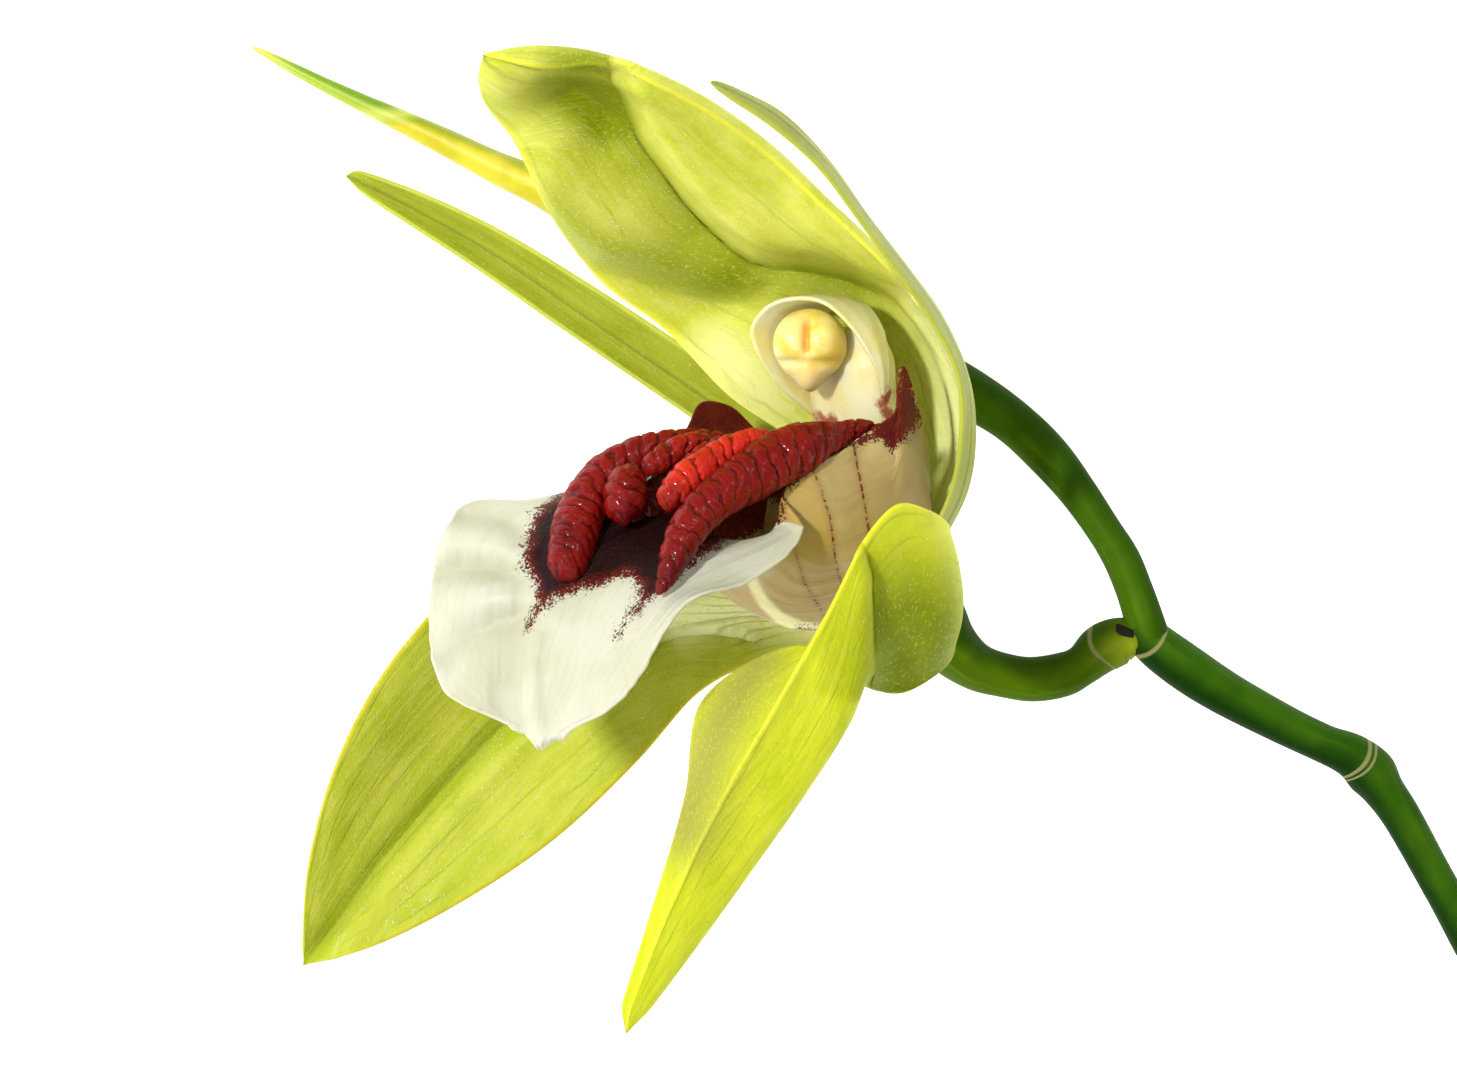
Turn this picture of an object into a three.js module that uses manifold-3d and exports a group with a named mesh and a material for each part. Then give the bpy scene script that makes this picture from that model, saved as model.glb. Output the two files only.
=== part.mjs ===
// A cut stem of Coelogyne beccarii, laid on its side: one open flower and one closed bud on the
// end of a zigzag rachis. Lengths are in millimetres, Z is up and the stem lies on z = 0.
// The open flower faces -X and +Z, with its right-hand side turned up.

import * as THREE from 'three';
import { mergeVertices } from 'three/addons/utils/BufferGeometryUtils.js';
import Module from 'manifold-3d';

const wasm = await Module();
wasm.setup();

// Driving dimensions
const TEPAL_THICKNESS = 0.7;
const LIP_THICKNESS = 0.7;
const SEAT_GAP = 0.3;
const STALK_SIDES = 10;
const BUD_SIDES = 15;
const KEEL_SIDES = 8;
// half the pitch of the wrinkles, so that rings stand out and in by turns
const KEEL_RING_STEP = 0.6;
const WRINKLE_DEPTH = 0.1;
const SCAR_HEIGHT = 0.22;
const SCAR_LENGTH = 0.7;
const REST_PLANE = 0;
const WELD = 1e-5;
// middle of the whole stem's outline on the table, which becomes the origin
const STEM_MIDDLE = { x: 35.55, y: -20.75 };

const COLOURS = {
  stem: 0x2f6b1c,
  ovary: 0x4c8a1e,
  budOvary: 0x35701a,
  bud: 0xc2cc34,
  sepal: 0xb4c64a,
  petal: 0xbccb55,
  lip: 0xf1efdd,
  crest: 0x8e1f16,
  column: 0xf0e3ae,
  antherCap: 0xf3cf62,
};

// Rails run from the base of a blade to its tip, one after another across the blade.
const DORSAL_SEPAL = [
  [[9.0, 0.0, 11.2], [8.4, 0.8, 10.8], [6.7, 2.4, 10.6], [3.6, 5.6, 10.6], [0.2, 8.0, 11.5],
    [-3.4, 11.7, 13], [-7.0, 14.4, 15.2], [-9.8, 18.1, 17.8], [-11.8, 22.1, 21], [-13.5, 25.5, 25.5]],
  [[10.1, 0.5, 11.8], [10.9, 1.6, 11.4], [11.4, 4.1, 11], [10.3, 9.1, 11.3], [7.3, 13.2, 13.6],
    [2.3, 15.3, 16.2], [-2.0, 18.4, 18.5], [-4.9, 22.1, 21.5], [-8.7, 25.1, 24.5], [-13.6, 26.3, 27]],
  [[10.8, 0.0, 13.0], [12.2, 1.9, 14.8], [13.4, 6.1, 17], [12.2, 11.0, 18.5], [9.0, 15.1, 20],
    [5.5, 18.5, 21.5], [2.0, 21.8, 23.5], [-2.0, 24.5, 25.5], [-6.8, 26.5, 27], [-13.2, 26.7, 27.6]],
];

const PETAL_NEAR = [
  [[11.6, -0.3, 14.2], [13.1, 2.8, 16.2], [13.5, 6.1, 18.6], [13.1, 9.0, 20.4], [11.7, 12.2, 22.3],
    [9.7, 15.0, 24.2], [7.6, 17.7, 26.3], [5.3, 20.9, 28.6], [2.9, 23.3, 30.6], [0.6, 24.5, 32.4],
    [-1.0, 25.2, 33.8]],
  [[10.8, -0.4, 15.4], [12.2, 2.5, 18.4], [12.8, 5.9, 21.5], [12.6, 9.1, 23.6], [11.1, 12.1, 25.7],
    [9.2, 14.8, 27.5], [7.3, 17.4, 29.3], [4.9, 20.5, 31.2], [2.2, 22.8, 32.8], [0.2, 24.1, 33.8],
    [-0.9, 24.8, 34.4]],
];

const PETAL_FAR = [
  [[8.6, -0.4, 11.2], [6.2, 3.9, 9.6], [2.0, 7.5, 8.4], [-2.1, 10.4, 7.6], [-7.6, 14.0, 6.8],
    [-12.7, 17.1, 5.8], [-17.1, 19.2, 4.6], [-21.0, 20.4, 3.5]],
  [[8.7, -0.8, 10.9], [5.8, 2.7, 8.7], [1.7, 5.8, 7.2], [-2.5, 8.7, 6.3], [-8.4, 12.7, 5.4],
    [-13.4, 16.1, 4.5], [-17.7, 18.5, 3.7], [-21.2, 20.2, 3.2]],
  [[8.8, -1.2, 11.2], [5.5, 1.7, 9.6], [1.4, 4.5, 8], [-2.8, 7.4, 7], [-9.2, 11.8, 6.2],
    [-14.2, 15.3, 5.2], [-18.2, 17.9, 4.2], [-21.2, 20.0, 3.3]],
];

const SEPAL_FAR = [
  [[8.3, -1.9, 11.2], [4.0, -2.8, 8.4], [-0.5, -2.5, 7.2], [-6.6, -1.1, 7], [-12.7, -1.1, 7],
    [-18.0, -6.0, 6.8], [-21.3, -11.5, 5.4], [-23.2, -17.7, 3.0], [-23.7, -22.9, 0.6]],
  [[8.6, -2.5, 11], [4.5, -4.0, 7.2], [0.1, -4.4, 5.2], [-4.9, -5.5, 4], [-10.5, -8.3, 3.2],
    [-15.5, -12.8, 2.8], [-19.1, -17.1, 2.4], [-21.8, -20.8, 1.3], [-23.6, -23.6, 0.35]],
  [[8.7, -3.0, 11.4], [5.1, -5.5, 8.2], [0.8, -6.9, 6.4], [-1.8, -8.4, 5.4], [-5.1, -12.1, 5],
    [-9.5, -16.3, 4.6], [-13.9, -19.4, 4], [-18.9, -22.1, 2.4], [-23.1, -23.6, 0.4]],
];

const SEPAL_NEAR = [
  [[9.6, -1.2, 15.2], [11.1, -0.3, 19], [12.0, 0.7, 24.5], [11.0, 1.5, 28], [9.2, 1.8, 30.4],
    [7.5, 0.0, 32], [5.5, -3.9, 32.8], [2.8, -8.7, 32.8], [-0.2, -13.9, 31.8], [-3.2, -20.0, 29.6],
    [-5.7, -26.4, 26.6]],
  [[9.9, -1.7, 15.4], [11.9, -2.8, 18.6], [12.6, -3.3, 23.6], [11.9, -3.6, 27], [9.8, -4.4, 28.8],
    [7.9, -6.3, 29.8], [6.4, -9.9, 30], [3.8, -14.0, 29.4], [0.8, -18.3, 28.4], [-2.3, -22.6, 27],
    [-5.6, -27.0, 26.0]],
  [[9.9, -2.2, 15], [11.4, -5.4, 17.6], [12.3, -6.0, 22.4], [11.5, -7.2, 25.2], [9.4, -8.3, 26.2],
    [7.1, -7.8, 25.4], [3.9, -5.9, 24.0], [-1.3, -8.8, 23.8], [-2.3, -14.0, 24.2], [-4.2, -20.5, 25],
    [-6.0, -26.2, 25.4]],
];

// Rows across the lip, from its claw forward, each from the far margin to the near one.
const LIP_ROWS = [
  [[9.0, -1.1, 11.6], [8.8, -2.2, 11.9], [9.0, -3.1, 12.7], [9.8, -2.2, 13.4], [10.0, -1.1, 13.4]],
  [[5.6, 3.7, 9.7], [5.4, -1.9, 10.1], [7.7, -4.6, 13.6], [10.6, -1.9, 16.8], [11.0, 2.9, 17.0]],
  [[4.0, 7.8, 10.6], [2.8, -0.3, 11.0], [5.6, -4.8, 15.1], [9.0, 0.3, 19.3], [9.5, 9.4, 19.1]],
  [[2.0, 6.2, 11.9], [0.7, -0.7, 12.6], [3.6, -4.6, 16.7], [7.1, -0.3, 21.0], [7.4, 5.5, 20.4]],
  [[-0.7, 7.7, 13.0], [-1.0, -0.7, 14.3], [1.5, -3.7, 18.2], [4.9, -0.5, 22.2], [4.9, 4.1, 22]],
  [[-2.6, 6.1, 14.0], [-3.0, 0.7, 16.3], [-0.3, -2.1, 19.6], [2.6, -0.9, 22.7], [3.0, 2.5, 22.8]],
  [[-5.6, 3.9, 15.6], [-3.8, 3.0, 17.6], [-2.1, 0.8, 20.6], [0.4, -0.3, 22.8], [4.1, 0.5, 24.4]],
  [[-11.2, 2.2, 16.6], [-7.6, 1.9, 19.4], [-4.9, 0.0, 22.4], [-2.1, -1.1, 25], [1.2, -1.9, 27.4]],
  [[-14.9, 1.3, 17.8], [-10.9, 0.0, 20.8], [-7.1, -1.9, 23.6], [-4.3, -3.3, 26.4], [-1.7, -3.4, 29.2]],
  [[-16.6, -3.3, 19.6], [-13.1, -3.3, 21.8], [-9.0, -5.5, 24.6], [-6.2, -6.3, 27.4], [-4.4, -6.7, 30.2]],
  [[-15.7, -8.1, 22], [-12.5, -7.4, 23.4], [-9.8, -8.5, 25.6], [-7.9, -8.9, 27.8], [-6.9, -9.2, 29.8]],
  [[-11.4, -10.4, 25.2], [-11.0, -10.7, 25.6], [-10.3, -11.2, 26.4], [-9.6, -10.9, 27], [-9.0, -10.7, 27.4]],
];

// Stalks are lists of x, y, z and radius.
const RACHIS = [
  [22.7, -5.2, 9.1, 1.15], [24.8, -6.7, 8.7, 1.3], [27.2, -8.3, 8.1, 1.3], [30.5, -10.1, 7.3, 1.15],
  [32.7, -11.1, 6.8, 1.06], [35.0, -11.9, 6.3, 1.2], [36.0, -12.8, 6.1, 1.25], [37.2, -15.2, 5.8, 1.1],
  [39.4, -19.1, 5.3, 1.02], [41.6, -23.0, 4.8, 1.1], [43.0, -25.0, 4.5, 1.25], [45.2, -26.2, 4.2, 1.2],
  [50.0, -28.6, 3.6, 1.15], [54.2, -30.6, 3.1, 1.25], [55.7, -32.2, 2.9, 1.3], [57.5, -36.5, 2.6, 1.2],
  [60.6, -43.0, 2.2, 1.3], [62.3, -45.0, 2.1, 1.4], [68, -49.2, 1.9, 1.4], [80, -57.5, 1.6, 1.45],
  [97, -68, 1.55, 1.5],
];
// places along the rachis, as a share of its stations, that carry a ring left by a fallen bract
const SCARS = [0.045, 0.3, 0.515, 0.69];

const FLOWER_OVARY = [
  [22.3, -5.6, 9, 1.35], [20.6, -6.0, 8.6, 1.36], [18.6, -7.4, 8.2, 1.26], [16.8, -7.7, 8.2, 1.24],
  [15.3, -7.5, 8.5, 1.24], [13.7, -7.0, 9.1, 1.35], [12.2, -5.8, 10.1, 1.65], [11.2, -4.2, 11.1, 1.9],
  [10.6, -2.8, 11.8, 1.8], [10.2, -1.9, 12.2, 1.2],
];
const BUD_OVARY = [
  [23.1, -4.9, 9.2, 1.1], [22.5, -2.8, 9, 1.0], [21.7, -1.1, 8.8, 1.1], [20.6, 0.7, 8.4, 1.2],
  [19.3, 2.6, 8, 1.3], [17.6, 4.6, 7.6, 1.45], [15.5, 6.4, 7.2, 1.65], [13.6, 8.0, 6.8, 1.9],
  [12.0, 8.9, 6.2, 2.0],
];
const BUD = [
  [11.7, 9.0, 6.0, 1.9], [9.5, 10.0, 5.2, 2.4], [6.7, 11.2, 4.1, 3.0], [3.4, 12.8, 3.2, 3.35],
  [-0.5, 14.8, 2.9, 3.05], [-4.4, 16.7, 2.5, 2.3], [-9.9, 19.4, 2.0, 1.2], [-12.7, 20.6, 1.8, 0.95],
  [-15.5, 22.0, 1.5, 0.8], [-18.2, 23.3, 1.2, 0.64], [-21.0, 24.6, 0.95, 0.48],
  [-23.8, 26.0, 0.65, 0.38], [-26.5, 27.4, 0.38, 0.32],
];

// Wrinkled keels along the disc of the lip, each a soft ridge like a stalk.
const KEELS = [
  [[8.4, 6.4, 19, 0.35], [7.2, 6, 19.6, 0.9], [5.6, 5.6, 20.8, 1.25], [3.9, 4.9, 22, 1.5],
    [2.3, 4.3, 23.1, 1.5], [0.6, 3.2, 24.2, 1.4], [-0.9, 1.7, 25.3, 1.25], [-1.9, 0.3, 26.2, 1.15],
    [-2.9, -1.2, 27, 1.05], [-3.5, -2.3, 27.4, 0.85], [-4, -3.1, 27.8, 0.5]],
  [[2.6, 5.6, 20.6, 0.8], [1.2, 5.1, 21.4, 1], [-0.4, 4.4, 22.3, 1], [-1.7, 3.7, 23.2, 1.1],
    [-2.8, 2.7, 24, 1.05], [-3.3, 1.9, 24.6, 0.7]],
  [[0.9, 5.4, 19.6, 0.6], [-0.9, 4.8, 20.6, 0.7], [-2.1, 4.2, 21.4, 0.7], [-3.1, 3.4, 22.3, 0.5]],
  [[-0.5, 5.2, 18.6, 0.7], [-2.1, 5, 19.2, 0.85], [-3.3, 4.6, 19.9, 1], [-4.2, 3.9, 20.6, 1],
    [-4.5, 3.2, 21.2, 0.7]],
  [[-5, 4, 20, 0.7], [-5.4, 3.3, 20.7, 1.1], [-5.7, 2.3, 21.5, 1.25], [-5.9, 1.5, 22.2, 1],
    [-5.8, 0.7, 22.8, 0.5]],
  [[0.7, 5.1, 17.6, 0.6], [-1, 5.1, 17.6, 0.85], [-3.1, 5, 17.9, 1], [-5.1, 4.6, 18.5, 1.05],
    [-6.7, 3.8, 19.2, 1.15], [-7.9, 2.5, 20.1, 1.2], [-8.8, 1, 21.3, 1.2], [-9.2, -0.4, 22.5, 1.2],
    [-9.3, -1.5, 23.3, 1.15], [-9.1, -2.2, 23.8, 0.8]],
];
const KEEL_CORE = [
  [7.2, 4.8, 17.6, 1.2], [4.8, 4.5, 18.6, 1.9], [2.3, 4.0, 19.6, 2.4], [-0.5, 3.4, 20.6, 2.5],
  [-3.2, 2.5, 21.4, 2.2], [-4.9, 1.4, 22.0, 1.7], [-6.0, 0.3, 22.6, 1.2],
];

// The column's stations, each a centre with its half width and half depth.
const COLUMN = [
  [[8.8, -1.2, 12.7], 1.1, 1.1], [[8.6, 1.3, 12.9], 1.6, 1.3], [[8.0, 4.3, 13.3], 2.1, 1.4],
  [[7.5, 7.1, 13.7], 2.6, 1.6], [[7.1, 9.5, 14.0], 3.0, 1.7], [[6.8, 11.7, 14.2], 2.4, 1.1],
];
const COLUMN_HOOD = [
  [[4.7, 6.9, 12.8], [4.3, 9.1, 12.3], [4.5, 11.1, 12.1], [5.4, 12.5, 12.8], [6.5, 13.2, 14.1],
    [7.6, 12.9, 15.4], [8.5, 11.5, 16.3], [8.8, 9.3, 16.6], [8.6, 6.9, 16.1]],
  [[2.7, 8.6, 13.6], [1.6, 10.4, 14.3], [1.3, 11.6, 14.5], [2.1, 12.8, 15.1], [3.5, 13.3, 16],
    [5.2, 13.1, 17], [6.7, 11.8, 17.7], [7.8, 10.1, 17.5], [8.6, 8.2, 16.4]],
];
const ANTHER_CAP = { centre: [4.5, 10.7, 16.4], half: [2.4, 2.15, 1.75], turn: -0.927 };

const vector = ([x, y, z]) => new THREE.Vector3(x, y, z);
const curveOf = (points) => new THREE.CatmullRomCurve3(points, false, 'centripetal');

// Points over a net of rails, along the rails and across them.
function sheetGrid(rails, along, across) {
  const curves = rails.map((rail) => curveOf(rail.map(vector)));
  const grid = [];
  for (let i = 0; i <= along; i += 1) {
    const row = curveOf(curves.map((curve) => curve.getPoint(i / along)));
    grid.push(Array.from({ length: across + 1 }, (_, j) => row.getPoint(j / across)));
  }
  return grid;
}

const clampIndex = (value, top) => Math.min(Math.max(value, 0), top);

function gridNormal(grid, i, j) {
  const lastRow = grid.length - 1;
  const lastColumn = grid[0].length - 1;
  const along = new THREE.Vector3().subVectors(
    grid[clampIndex(i + 1, lastRow)][j],
    grid[clampIndex(i - 1, lastRow)][j],
  );
  const across = new THREE.Vector3().subVectors(
    grid[i][clampIndex(j + 1, lastColumn)],
    grid[i][clampIndex(j - 1, lastColumn)],
  );
  return along.cross(across).normalize();
}

// Moves a sheet along its own normals, for folds and waved margins.
function waveGrid(grid, height) {
  return grid.map((row, i) => row.map((point, j) => point.clone().addScaledVector(
    gridNormal(grid, i, j),
    height(i / (grid.length - 1), j / (row.length - 1)),
  )));
}

// Carries the outer rows and columns of a sheet outward by a distance.
function growGrid(grid, distance) {
  const rows = grid.length;
  const columns = grid[0].length;
  const past = (edge, inner) => new THREE.Vector3().subVectors(edge, inner).setLength(distance).add(edge);
  const grown = grid.map((row) => [past(row[0], row[1]), ...row, past(row[columns - 1], row[columns - 2])]);
  const first = grown[0].map((point, j) => past(point, grown[1][j]));
  const last = grown[rows - 1].map((point, j) => past(point, grown[rows - 2][j]));
  return [first, ...grown, last];
}

function geometryOf(points, triangles) {
  const geometry = new THREE.BufferGeometry();
  geometry.setAttribute('position', new THREE.Float32BufferAttribute(points.flatMap((p) => p.toArray()), 3));
  geometry.setIndex(triangles);
  return geometry;
}

// A sheet with a thickness: two faces split alike, and a rim round them.
function sheetSolid(grid, thickness) {
  const rows = grid.length;
  const columns = grid[0].length;
  const faces = [0.5, -0.5].map((side) => grid.map((row, i) => row.map((point, j) => (
    point.clone().addScaledVector(gridNormal(grid, i, j), side * thickness)
  ))));
  const points = faces.flat(2);
  const index = (face, i, j) => face * rows * columns + i * columns + j;
  const triangles = [];
  for (let i = 0; i < rows - 1; i += 1) {
    for (let j = 0; j < columns - 1; j += 1) {
      const corners = [[i, j], [i + 1, j], [i + 1, j + 1], [i, j + 1]];
      const [a, b, c, d] = corners.map(([row, column]) => index(0, row, column));
      const [e, f, g, h] = corners.map(([row, column]) => index(1, row, column));
      triangles.push(a, b, c, a, c, d, e, g, f, e, h, g);
    }
  }
  const rim = [];
  for (let j = 0; j < columns - 1; j += 1) rim.push([0, j]);
  for (let i = 0; i < rows - 1; i += 1) rim.push([i, columns - 1]);
  for (let j = columns - 1; j > 0; j -= 1) rim.push([rows - 1, j]);
  for (let i = rows - 1; i > 0; i -= 1) rim.push([i, 0]);
  rim.forEach(([i, j], k) => {
    const [nextRow, nextColumn] = rim[(k + 1) % rim.length];
    const a = index(0, i, j);
    const b = index(0, nextRow, nextColumn);
    const c = index(1, nextRow, nextColumn);
    const d = index(1, i, j);
    triangles.push(a, b, c, a, c, d);
  });
  return geometryOf(points, triangles);
}

// A closed body through rings of points, with a flat cap at each end.
function ringSolid(rings) {
  const sides = rings[0].length;
  const points = rings.flat();
  const triangles = [];
  for (let i = 0; i < rings.length - 1; i += 1) {
    for (let j = 0; j < sides; j += 1) {
      const next = (j + 1) % sides;
      const [a, b, c, d] = [i * sides + j, i * sides + next, (i + 1) * sides + next, (i + 1) * sides + j];
      triangles.push(a, b, c, a, c, d);
    }
  }
  const last = (rings.length - 1) * sides;
  for (let j = 1; j < sides - 1; j += 1) {
    triangles.push(0, j + 1, j, last, last + j, last + j + 1);
  }
  return geometryOf(points, triangles);
}

// Rings along a stalk whose points carry a radius; shape(s, angle) scales the radius.
function stalkRings(stations, rings, sides, shape = () => 1, extra = 0) {
  const path = curveOf(stations.map(vector));
  const radii = new THREE.CatmullRomCurve3(stations.map((s) => new THREE.Vector3(s[3], 0, 0)));
  const frames = path.computeFrenetFrames(rings, false);
  const result = [];
  for (let i = 0; i <= rings; i += 1) {
    const s = path.getUtoTmapping(i / rings);
    const centre = path.getPoint(s);
    const radius = radii.getPoint(s).x;
    result.push(Array.from({ length: sides }, (_, j) => {
      const angle = (2 * Math.PI * j) / sides;
      const reach = radius * shape(i / rings, angle) + extra;
      return centre.clone()
        .addScaledVector(frames.normals[i], Math.cos(angle) * reach)
        .addScaledVector(frames.binormals[i], Math.sin(angle) * reach);
    }));
  }
  return result;
}

function solidOf(positions, triangles) {
  return new wasm.Manifold(new wasm.Mesh({
    numProp: 3,
    vertProperties: new Float32Array(positions),
    triVerts: new Uint32Array(triangles),
  }));
}

// A solid with its faces outward, whichever way the rails of its sheet run.
function toSolid(geometry) {
  const copy = geometry.clone();
  copy.deleteAttribute('normal');
  copy.deleteAttribute('uv');
  const merged = mergeVertices(copy, WELD);
  const positions = merged.attributes.position.array;
  const triangles = Array.from(merged.index.array);
  const solid = solidOf(positions, triangles);
  return solid.volume() < 0 ? solidOf(positions, triangles.reverse()) : solid;
}

const biggest = (solid) => solid.decompose().reduce((a, b) => (a.volume() > b.volume() ? a : b));

function toGeometry(solid) {
  const mesh = biggest(solid).getMesh();
  const geometry = new THREE.BufferGeometry();
  geometry.setAttribute('position', new THREE.Float32BufferAttribute(mesh.vertProperties, 3));
  geometry.setIndex(new THREE.Uint32BufferAttribute(mesh.triVerts, 1));
  geometry.translate(-STEM_MIDDLE.x, -STEM_MIDDLE.y, 0);
  return geometry;
}

// A blade and the room that its neighbours keep clear of it.
function blade(rails, along, across, wave = () => 0, thickness = TEPAL_THICKNESS) {
  const grid = waveGrid(sheetGrid(rails, along, across), wave);
  return {
    body: toSolid(sheetSolid(grid, thickness)),
    room: toSolid(sheetSolid(growGrid(grid, SEAT_GAP), thickness + 2 * SEAT_GAP)),
  };
}

function stalk(stations, rings, sides, shape) {
  return {
    body: toSolid(ringSolid(stalkRings(stations, rings, sides, shape))),
    room: toSolid(ringSolid(stalkRings(lengthened(stations, SEAT_GAP), rings, sides, shape, SEAT_GAP))),
  };
}

// The stations of a stalk with both ends carried on by a distance.
function lengthened(stations, distance) {
  const past = (end, inner) => {
    const away = new THREE.Vector3().subVectors(vector(end), vector(inner)).setLength(distance);
    return [end[0] + away.x, end[1] + away.y, end[2] + away.z, end[3]];
  };
  const last = stations.length - 1;
  return [past(stations[0], stations[1]), ...stations.slice(1, -1), past(stations[last], stations[last - 1])];
}

const bump = (value, middle, width) => Math.exp(-(((value - middle) / width) ** 2));

function dorsalSepal() {
  // a bright fold stands up between the midrib and the near margin
  const wave = (s, t) => 0.9 * bump(t, 0.78, 0.14) * bump(s, 0.62, 0.22)
    - 0.5 * bump(t, 0.2, 0.14) * bump(s, 0.7, 0.2);
  return blade(DORSAL_SEPAL, 18, 12, wave);
}

function sepalFar() {
  // a groove along the midrib
  const wave = (s, t) => -0.45 * bump(t, 0.5, 0.09) * Math.sin(Math.PI * s);
  return blade(SEPAL_FAR, 16, 10, wave);
}

function sepalNear() {
  return blade(SEPAL_NEAR, 20, 10);
}

function petalFar() {
  return blade(PETAL_FAR, 14, 6);
}

function petalNear() {
  return blade(PETAL_NEAR, 20, 3);
}

function lip() {
  const rails = LIP_ROWS[0].map((_, place) => LIP_ROWS.map((row) => row[place]));
  // the front lobe's margin is waved
  const wave = (s, t) => 0.45 * Math.abs(2 * t - 1) ** 3 * Math.sin(s * 34 + t * 5) * bump(s, 0.85, 0.2);
  return blade(rails, 22, 16, wave, LIP_THICKNESS);
}

function keels() {
  const pieces = KEELS.map((stations, keel) => {
    const length = curveOf(stations.map(vector)).getLength();
    const rings = Math.ceil(length / KEEL_RING_STEP);
    const wrinkle = (s, angle) => 1 + WRINKLE_DEPTH * Math.cos(Math.PI * s * rings + 0.5 * Math.sin(angle));
    return toSolid(ringSolid(stalkRings(stations, rings, KEEL_SIDES, wrinkle)));
  });
  const core = toSolid(ringSolid(stalkRings(KEEL_CORE, 8, KEEL_SIDES)));
  return pieces.reduce((all, piece) => all.add(piece), core);
}

function columnRings(extra) {
  const path = curveOf(COLUMN.map(([centre]) => vector(centre)));
  const sizes = curveOf(COLUMN.map(([, width, depth]) => new THREE.Vector3(width, depth, 0)));
  const sideways = new THREE.Vector3(0.6, 0, 0.8);
  const rings = 14;
  return Array.from({ length: rings + 1 }, (_, i) => {
    const centre = path.getPoint(i / rings);
    const size = sizes.getPoint(i / rings);
    const forward = path.getTangent(i / rings).cross(sideways).normalize();
    return Array.from({ length: STALK_SIDES }, (__, j) => {
      const angle = (2 * Math.PI * j) / STALK_SIDES;
      return centre.clone()
        .addScaledVector(sideways, Math.cos(angle) * (size.x + extra))
        .addScaledVector(forward, Math.sin(angle) * (size.y + extra));
    });
  });
}

function column() {
  const hood = blade(COLUMN_HOOD, 16, 3);
  return {
    body: toSolid(ringSolid(columnRings(0))).add(hood.body),
    room: toSolid(ringSolid(columnRings(SEAT_GAP))).add(hood.room),
  };
}

function antherCap() {
  const geometry = new THREE.SphereGeometry(1, 12, 8);
  geometry.scale(...ANTHER_CAP.half);
  geometry.rotateY(ANTHER_CAP.turn);
  geometry.translate(...ANTHER_CAP.centre);
  return toSolid(geometry);
}

function rachis() {
  const stem = stalk(RACHIS, 60, STALK_SIDES);
  const path = curveOf(RACHIS.map(vector));
  const radii = new THREE.CatmullRomCurve3(RACHIS.map((s) => new THREE.Vector3(s[3], 0, 0)));
  const scars = SCARS.map((place) => {
    const tangent = path.getTangent(place);
    const radius = radii.getPoint(place).x;
    const ring = new THREE.LatheGeometry([
      new THREE.Vector2(0, -SCAR_LENGTH / 2),
      new THREE.Vector2(radius, -SCAR_LENGTH / 2),
      new THREE.Vector2(radius + SCAR_HEIGHT, 0),
      new THREE.Vector2(radius, SCAR_LENGTH / 2),
      new THREE.Vector2(0, SCAR_LENGTH / 2),
    ], STALK_SIDES);
    const turn = new THREE.Quaternion().setFromUnitVectors(new THREE.Vector3(0, 1, 0), tangent);
    ring.applyQuaternion(turn);
    ring.translate(...path.getPoint(place).toArray());
    return toSolid(ring);
  });
  return { body: scars.reduce((all, scar) => all.add(scar), stem.body), room: stem.room };
}

function bud() {
  // three sepals meet in long seams
  const seams = (s, angle) => 1 - 0.06 * Math.max(0, Math.cos(3 * angle)) ** 3;
  return stalk(BUD, 26, BUD_SIDES, seams);
}

function material(colour, roughness) {
  return new THREE.MeshStandardMaterial({ color: colour, roughness, metalness: 0 });
}

const group = new THREE.Group();

function addPiece(name, solid, colour, roughness = 0.5) {
  const mesh = new THREE.Mesh(toGeometry(solid), material(colour, roughness));
  mesh.name = name;
  group.add(mesh);
}

const cutBy = (solid, rooms) => rooms.reduce((left, room) => left.subtract(room), solid);

const stemPart = rachis();
const budStalk = stalk(BUD_OVARY, 22, STALK_SIDES);
const flowerStalk = stalk(FLOWER_OVARY, 24, STALK_SIDES);
const budPart = bud();
const columnPart = column();
const lipPart = lip();
const dorsalPart = dorsalSepal();
const sepalFarPart = sepalFar();
const sepalNearPart = sepalNear();

// Where pieces meet, the later one gives way to the earlier ones.
const budBody = cutBy(budPart.body, [budStalk.room]).trimByPlane([0, 0, 1], REST_PLANE);
const heart = [flowerStalk.room, columnPart.room];
const flowerHeart = [...heart, lipPart.room, dorsalPart.room];

addPiece('rachis', stemPart.body, COLOURS.stem, 0.4);
addPiece('bud_ovary', cutBy(budStalk.body, [stemPart.room]), COLOURS.budOvary, 0.4);
addPiece('flower_ovary', cutBy(flowerStalk.body, [stemPart.room, budStalk.room]), COLOURS.ovary, 0.4);
addPiece('bud', budBody, COLOURS.bud);
addPiece('column', cutBy(columnPart.body, [flowerStalk.room]), COLOURS.column);
addPiece('anther_cap', cutBy(antherCap(), [columnPart.room]), COLOURS.antherCap);
addPiece('lip', cutBy(lipPart.body, heart), COLOURS.lip);
addPiece('lip_crest', cutBy(keels(), [lipPart.room, columnPart.room]), COLOURS.crest, 0.3);
addPiece('dorsal_sepal', cutBy(dorsalPart.body, [...heart, lipPart.room]), COLOURS.sepal);
addPiece('sepal_far', cutBy(sepalFarPart.body, flowerHeart), COLOURS.sepal);
addPiece('sepal_near', cutBy(sepalNearPart.body, flowerHeart), COLOURS.sepal);
addPiece('petal_far', cutBy(petalFar().body, [...flowerHeart, sepalFarPart.room]), COLOURS.petal);
addPiece('petal_near', cutBy(petalNear().body, [...flowerHeart, sepalNearPart.room]), COLOURS.petal);

export default group;
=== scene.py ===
import math

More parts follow.
